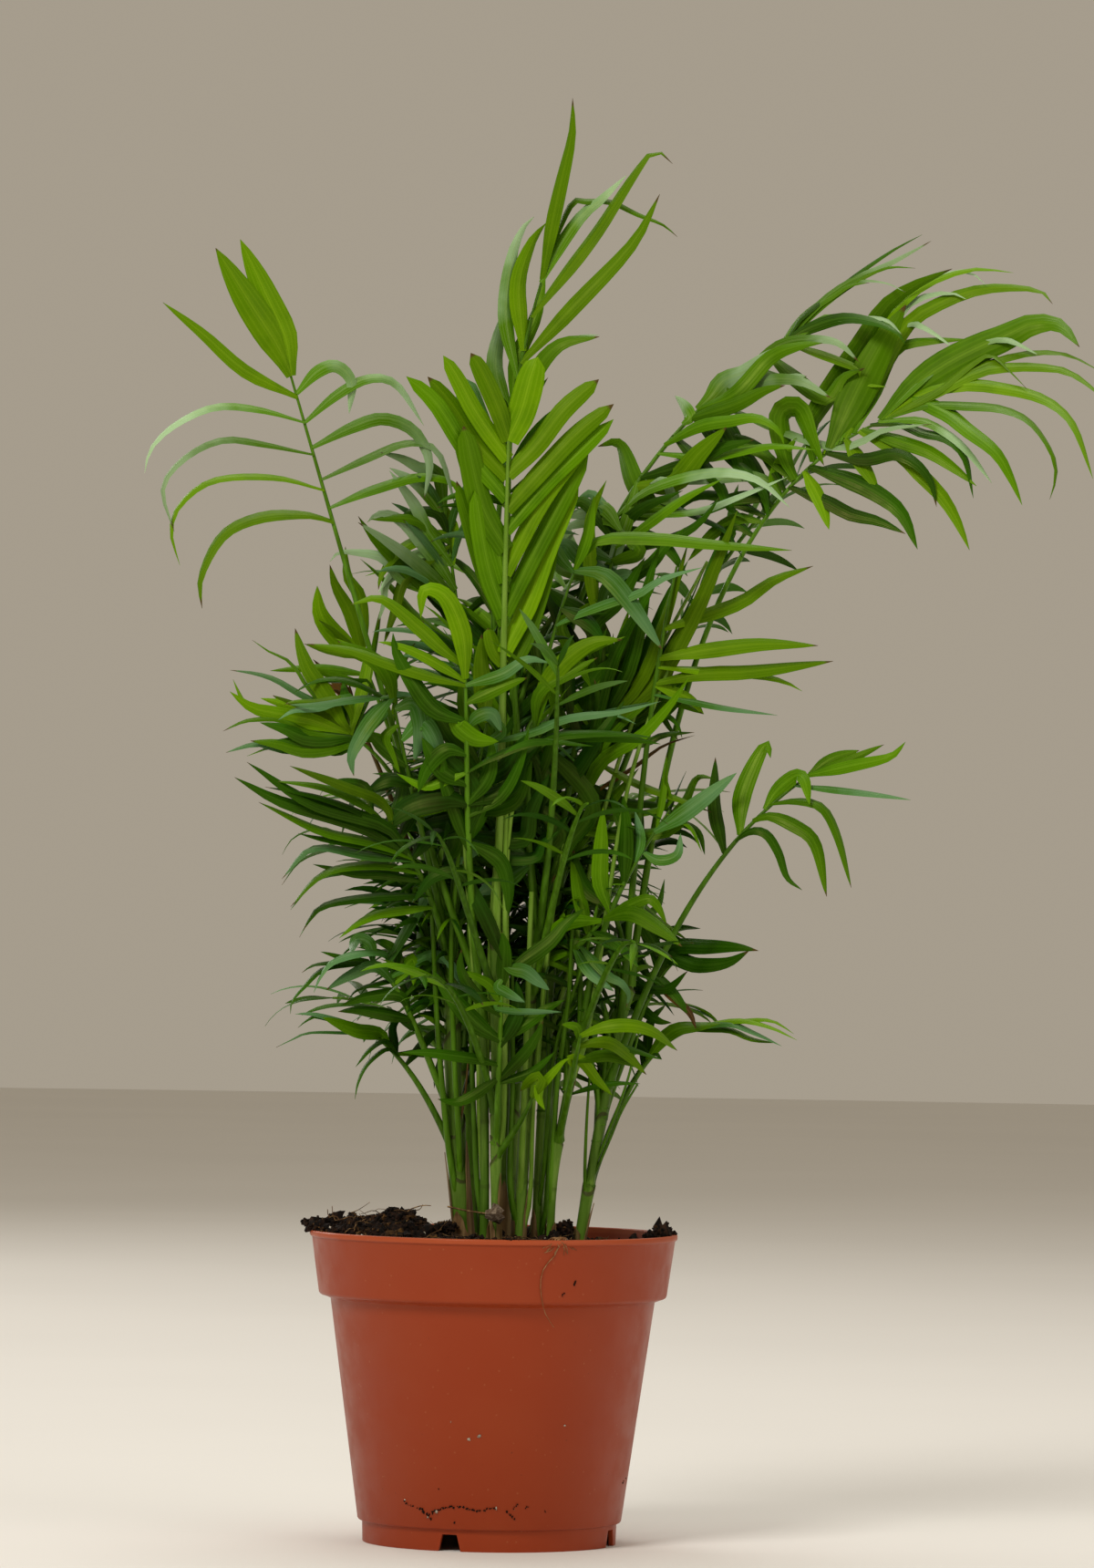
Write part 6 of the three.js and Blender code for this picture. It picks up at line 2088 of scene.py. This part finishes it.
@dataclass(frozen=True)
class Thicket:
    """Small inner fronds that crowd the space between the canes."""

    name: str
    middle: Point
    size: Point
    count: int
    seed: int
    longest: float = 27.0
    angle: float = 60.0
    tones: tuple[Tone, ...] = (SHADE, SHADE, DEEP, DEEP, MID)
    solid: bool = True
    breadth: float = 0.8
    gap: float = 6.5
    bare: float = 0.35
    # Angle between one frond and the next up the spiral, and how far below its end a frond leaves its cane.
    spiral: float = 2.4
    stalk: float = 26.0

    def frond(self, number: int, rng: random.Random) -> Frond:
        """One small frond.

        Args:
            number: Its place in the spiral up the thicket.
            rng: Source of its differences.

        Returns:
            The frond.
        """
        angle = self.spiral * number
        out = np.array([math.cos(angle), math.sin(angle)])
        level = 2 * (number + 0.5) / self.count - 1
        girth = math.sqrt(1 - (0.9 * level) ** 2)
        height = self.middle[2] + self.size[2] * level
        end = np.array([*(self.middle[:2] + out * girth * self.size[:2] * rng.uniform(0.6, 1)), height])
        share = np.linspace(0.1, 1, 30)
        stems = np.vstack([cane.curve.at(share) for cane in CANES.values()])
        away = np.hypot(stems[:, 0] - end[0], stems[:, 1] - end[1])
        start = stems[np.argmin(away + 2 * np.abs(stems[:, 2] - height + self.stalk))]
        near = start + (end - start) * (0.1, 0.1, 0.5)
        far = start + (end - start) * (0.6, 0.6, 1.05)
        side = Side(self.longest * rng.uniform(0.8, 1.1), 0.8, 0.85, self.angle, 12, 50, 30)
        return Frond(f"{self.name}_{number}", tuple(start), (tuple(near), tuple(far), tuple(end)), self.bare,
                     (out[0] * 0.3, out[1] * 0.3, 1), sides=(side, side), tones=self.tones, gap=self.gap,
                     breadth=self.breadth)

    def build(self, palette: Palette) -> None:
        """Makes its leaves and its stalks, one piece each.

        Args:
            palette: The materials.
        """
        rng, leaves, ribs = random.Random(self.seed), Skin(), Skin()
        for number in range(self.count):
            self.frond(number, rng).add(leaves, ribs)
        nodes = (self.name,) if self.solid else ()
        settle(ribs.make(self.name + "_stalks", palette.stems, 70), "cane", *nodes)
        settle(leaves.make(self.name, palette.leaves, 50), "leaf", *nodes)


# Their leaves take mostly the darkest tones, a painted shade for the heart of the clump.
THICKETS = (
    Thicket("leaves_inner_left", (-21, -1, 216), (15, 22, 42), 30, 21),
    Thicket("leaves_inner_right", (27, 2, 198), (15, 18, 42), 36, 22),
    Thicket("leaves_inner_back", (-2, 16, 208), (24, 14, 50), 50, 23, 32, 50, (SHADE, SHADE, DEEP), False,
            1.0),
    Thicket("leaves_inner_high", (2, 6, 262), (26, 12, 42), 30, 24, 38, 36, (SHADE, DEEP, DEEP, MID, BLOOM),
            False),
)


# ---------------------------------------------------------------- sheaths and loose stalks


@dataclass(frozen=True)
class Wrappings:
    """Leaf sheaths round the canes, papery husks at their feet and thin stalks with no leaves left."""

    # Papery husks: cane, height of their foot and top, direction they cover and how far round it they go.
    husks: tuple[tuple[str, float, float, float, float], ...] = (
        ("cane_left", 99, 131, -22, 34), ("cane_left", 99, 127, -172, 24), ("cane_left", 99, 108, -110, 45),
        ("cane_left_thin", 98, 106, -30, 50), ("cane_front", 98, 121, -36, 40),
        ("cane_front", 98, 107, -140, 50), ("cane_middle", 98, 117, -40, 34),
        ("cane_middle", 98, 109, -150, 36), ("cane_middle_right", 98, 109, -120, 40),
        ("cane_right_thin", 98, 105, -60, 60), ("cane_right", 98, 111, -14, 34),
        ("cane_right", 98, 103, -140, 60), ("cane_core", 98, 118, -90, 70),
        ("cane_back_left", 98, 116, 160, 60), ("cane_back_left", 98, 108, 60, 60),
        ("cane_back", 98, 113, 90, 60), ("cane_back_right", 98, 118, 40, 55),
        ("cane_back_right", 98, 107, 130, 55), ("cane_far_back", 98, 110, 90, 70),
    )
    # Stalks without leaves: radius, their finish, cane, share of it where they leave, points they pass.
    stalks: tuple[tuple[float, Stem, str, float, tuple[Point, ...]], ...] = (
        (0.45, RED, "cane_middle_right", 0.22,
         ((20.5, -9, 128), (23, -13, 140), (26, -15, 153), (28, -16, 165))),
        (0.4, RED, "cane_left", 0.3, ((-12, -12, 133), (-10, -15, 145), (-9, -16, 158))),
        (0.55, GREEN, "cane_right", 0.16, ((29.4, -6, 124), (29.8, -8, 140), (30.6, -9, 156))),
        (0.5, GREEN, "cane_right", 0.24, ((37, -6, 131), (41, -7, 141), (46, -9, 150))),
        (0.5, GREEN, "cane_right", 0.28, ((39, -7, 140), (43, -8, 152), (46, -8, 166))),
        (1.0, PALE, "cane_left_thin", 0.5, ((-3, -20, 160), (-2, -24, 205), (0, -27, 230), (2, -28, 247))),
        (0.9, PALE, "cane_front", 0.45, ((3, -22, 170), (2.5, -25, 210), (3.5, -28, 235), (9, -30, 264))),
        (1.0, PALE, "cane_front", 0.25, ((2.6, -21, 140), (2.4, -25, 190), (2, -28, 225), (2.4, -29, 250))),
        (1.1, PALE, "cane_middle", 0.14, ((8.8, -14, 128), (9.8, -19, 170), (10.6, -22, 212))),
        (1.0, GREEN, "cane_middle", 0.05, ((5, -14, 118), (5.4, -17, 150), (4.6, -19, 190))),
        (1.0, PALE, "cane_middle", 0.3, ((12.6, -13, 150), (15, -15, 180), (19, -17, 222))),
        (0.9, GREEN, "cane_left_thin", 0.1, ((-5.6, -17, 118), (-8, -18, 160), (-10, -22, 216))),
        (1.0, GREEN, "cane_left", 0.12,
         ((-14, -12, 122), (-17, -14, 145), (-19.5, -17, 172), (-22, -20, 214))),
        (1.0, GREEN, "cane_left", 0.2,
         ((-11.6, -13, 130), (-14, -17, 165), (-15, -20, 196), (-13, -24, 226))),
        (0.8, PALE, "cane_left_thin", 0.2,
         ((-5, -17, 135), (-6, -20, 165), (-9, -26, 200), (-13, -36, 250))),
        (0.9, GREEN, "cane_right_thin", 0.15,
         ((18.6, -14, 122), (20, -15, 150), (23, -18, 176), (24, -20, 200))),
        (0.8, GREEN, "cane_middle_right", 0.1,
         ((16, -6, 122), (19, -12, 160), (28, -18, 190), (33, -20, 212))),
        (0.8, GREEN, "cane_middle_right", 0.02,
         ((17, -5, 110), (17.6, -8, 140), (16, -12, 180), (14, -15, 214))),
        (0.7, PALE, "cane_middle", 0.02,
         ((11.6, -12, 112), (12.4, -14, 145), (16, -16, 190), (21, -20, 230))),
        (0.8, PALE, "cane_middle_right", 0.6,
         ((24, -8, 190), (34, -14, 240), (50, -18, 288), (66, -20, 320))),
        (0.8, PALE, "cane_right_thin", 0.7,
         ((30, -18, 170), (40, -22, 240), (52, -22, 280), (64, -20, 304))),
    )

    def build_sheaths(self, palette: Palette, fronds: list[Frond]) -> None:
        """Makes a sheath under each frond that leaves a cane, cut aslant at its top.

        Args:
            palette: The materials.
            fronds: The fronds.
        """
        skin, turn = Skin(), round_turn(14)
        shares, rise = np.linspace(0, 1, 120), np.linspace(0, 1, 10)
        out = np.stack([np.cos(turn), np.sin(turn), 0 * turn], 1)
        for spec in fronds:
            rng = random.Random(spec.name)
            gaps = {name: np.linalg.norm(cane.curve.at(shares) - spec.start, axis=1)
                    for name, cane in CANES.items()}
            cane = CANES[min(gaps, key=lambda name: gaps[name].min())]
            top = float(shares[gaps[cane.name].argmin()])
            low = max(0.03, top - rng.uniform(14, 26) / (cane.top[2] - SOIL_LEVEL))
            radii = cane.radius(top) + 0.12 + 0.42 * rise**2
            rings = cane.curve.at(low + (top - low) * rise)[:, None] + out * radii[:, None, None]
            lean = np.cos(turn - rng.uniform(0, 6)) * cane.radius(top) * 1.6
            rings[..., 2] += rise[:, None] ** 3 * lean
            skin.add(rings, rise, tint=rng.random())
        settle(skin.make("cane_sheaths", [palette.sheath], 60), "cane")

    def build_husks(self, palette: Palette) -> None:
        """Makes the brown husks that clasp the canes' feet, each a torn strip that ends in a point.

        Args:
            palette: The materials.
        """
        rng, skin, rise = random.Random(31), Skin(), np.linspace(0, 1, 12)
        for name, low, high, facing, reach in self.husks:
            cane = CANES[name]
            path = cane.curve.at((low - CANE_FOOT + (high - low) * rise) / (cane.top[2] - CANE_FOOT))
            width = math.radians(reach) * (1 - rise**2.2) * (1 + 0.12 * np.sin(9 * rise + rng.uniform(0, 6)))
            turn = math.radians(facing + 12 * math.sin(low + high)) + width[:, None] * np.linspace(-1, 1, 7)
            out = np.stack([np.cos(turn), np.sin(turn), 0 * turn], -1)
            gap = 0.12 + 0.5 * rise[:, None] ** 2 + 0.1 * np.cos(6 * turn)
            inner = path[:, None] + out * (cane.radius(0.1) + gap)[..., None]
            outer = inner + out * 0.28
            skin.add(np.concatenate([inner[:, ::-1], outer], 1), rise, tint=rng.random())
        settle(skin.make("cane_husks", [palette.husk], 60), "cane")

    def build_stalks(self, palette: Palette) -> None:
        """Makes the thin stalks.

        Args:
            palette: The materials.
        """
        rng, skin = random.Random(32), Skin()
        for radius, finish, cane, share, points in self.stalks:
            path = smooth_route([CANES[cane].curve.spot(share), *points], 22)
            add_tube(skin, path, np.linspace(radius * 1.15, radius * 0.7, 22), 8, finish.value, rng.random())
        settle(skin.make("loose_stalks", palette.stems, 60), "cane")


# ---------------------------------------------------------------- stage


@dataclass(frozen=True)
class Lamp:
    """Soft square light that looks at the plant. Its place and width are in metres, its power in watts."""

    name: str
    place: Point
    power: float
    width: float
    colour: Point

    def build(self) -> None:
        """Hangs the light."""
        light = bpy.data.lights.new(self.name, "AREA")
        light.energy, light.size, light.color = self.power, self.width, self.colour
        lamp = show(self.name, light)
        lamp.location = self.place
        lamp.rotation_euler = (Vector((0, 0, 0.22)) - lamp.location).to_track_quat("-Z", "Y").to_euler()


@dataclass(frozen=True)
class Stage:
    """Pale floor, soft lights and the camera."""

    floor: float = 6.0
    finish: StageFinish = field(default_factory=StageFinish)
    sky: Colour = (1.0, 0.88, 0.7, 1.0)
    sky_strength: float = 0.38
    lamps: tuple[Lamp, ...] = (
        Lamp("key", (-0.9, -1.5, 1.7), 29, 0.7, (1.0, 0.98, 0.93)),
        Lamp("fill", (1.5, -1.3, 0.9), 7, 1.2, (1.0, 0.97, 0.92)),
        Lamp("top", (0.1, 0.5, 2.0), 13, 1.0, (1.0, 1.0, 0.98)),
        Lamp("back", (-1.1, 1.7, 1.1), 9, 1.0, (1.0, 0.98, 0.95)),
    )

    def build_floor(self) -> None:
        """Makes the round floor."""
        bm = bmesh.new()
        bmesh.ops.create_circle(bm, cap_ends=True, segments=96, radius=self.floor)
        mesh = mesh_of(bm, "floor")
        mesh.materials.append(self.finish.make())
        show("floor", mesh)

    def build_sky(self) -> None:
        """Sets the even light from all round."""
        world = bpy.data.worlds.new("studio")
        world.use_nodes = True
        background = world.node_tree.nodes["Background"]
        background.inputs["Color"].default_value = self.sky
        background.inputs["Strength"].default_value = self.sky_strength
        bpy.context.scene.world = world

    def build_camera(self) -> None:
        """Sets the camera."""
        camera = bpy.data.cameras.new("camera")
        camera.sensor_fit = "VERTICAL"
        camera.sensor_height = VIEW.sensor
        camera.lens = VIEW.sensor * VIEW.distance / VIEW.field
        camera.clip_end = 50
        eye = show("camera", camera)
        eye.location = Vector((VIEW.aim[0], -VIEW.distance, VIEW.height)) * MM
        turn = (Vector(VIEW.aim) * MM - eye.location).to_track_quat("-Z", "Y")
        eye.rotation_euler = (turn.to_matrix() @ Matrix.Rotation(math.radians(VIEW.roll), 3, "Z")).to_euler()
        bpy.context.scene.camera = eye

    def build(self) -> None:
        """Sets up everything round the plant."""
        self.build_floor()
        self.build_sky()
        for lamp in self.lamps:
            lamp.build()
        self.build_camera()
        bpy.context.scene.view_settings.view_transform = "Standard"


def main() -> None:
    """Builds the plant and its stage."""
    logging.basicConfig(level=logging.INFO, format="%(message)s")
    Stage().build()
    pot = Pot()
    pot.build()
    Compost(pot).build()
    palette = Palette()
    for cane in CANES.values():
        cane.build(palette.cane)
    fronds = [*FRONDS, *(spec for tier in TIERS for spec in tier.fronds())]
    for spec in fronds:
        spec.build(palette)
    for thicket in THICKETS:
        thicket.build(palette)
    wrappings = Wrappings()
    wrappings.build_sheaths(palette, fronds)
    wrappings.build_husks(palette)
    wrappings.build_stalks(palette)


if __name__ == "__main__":
    main()
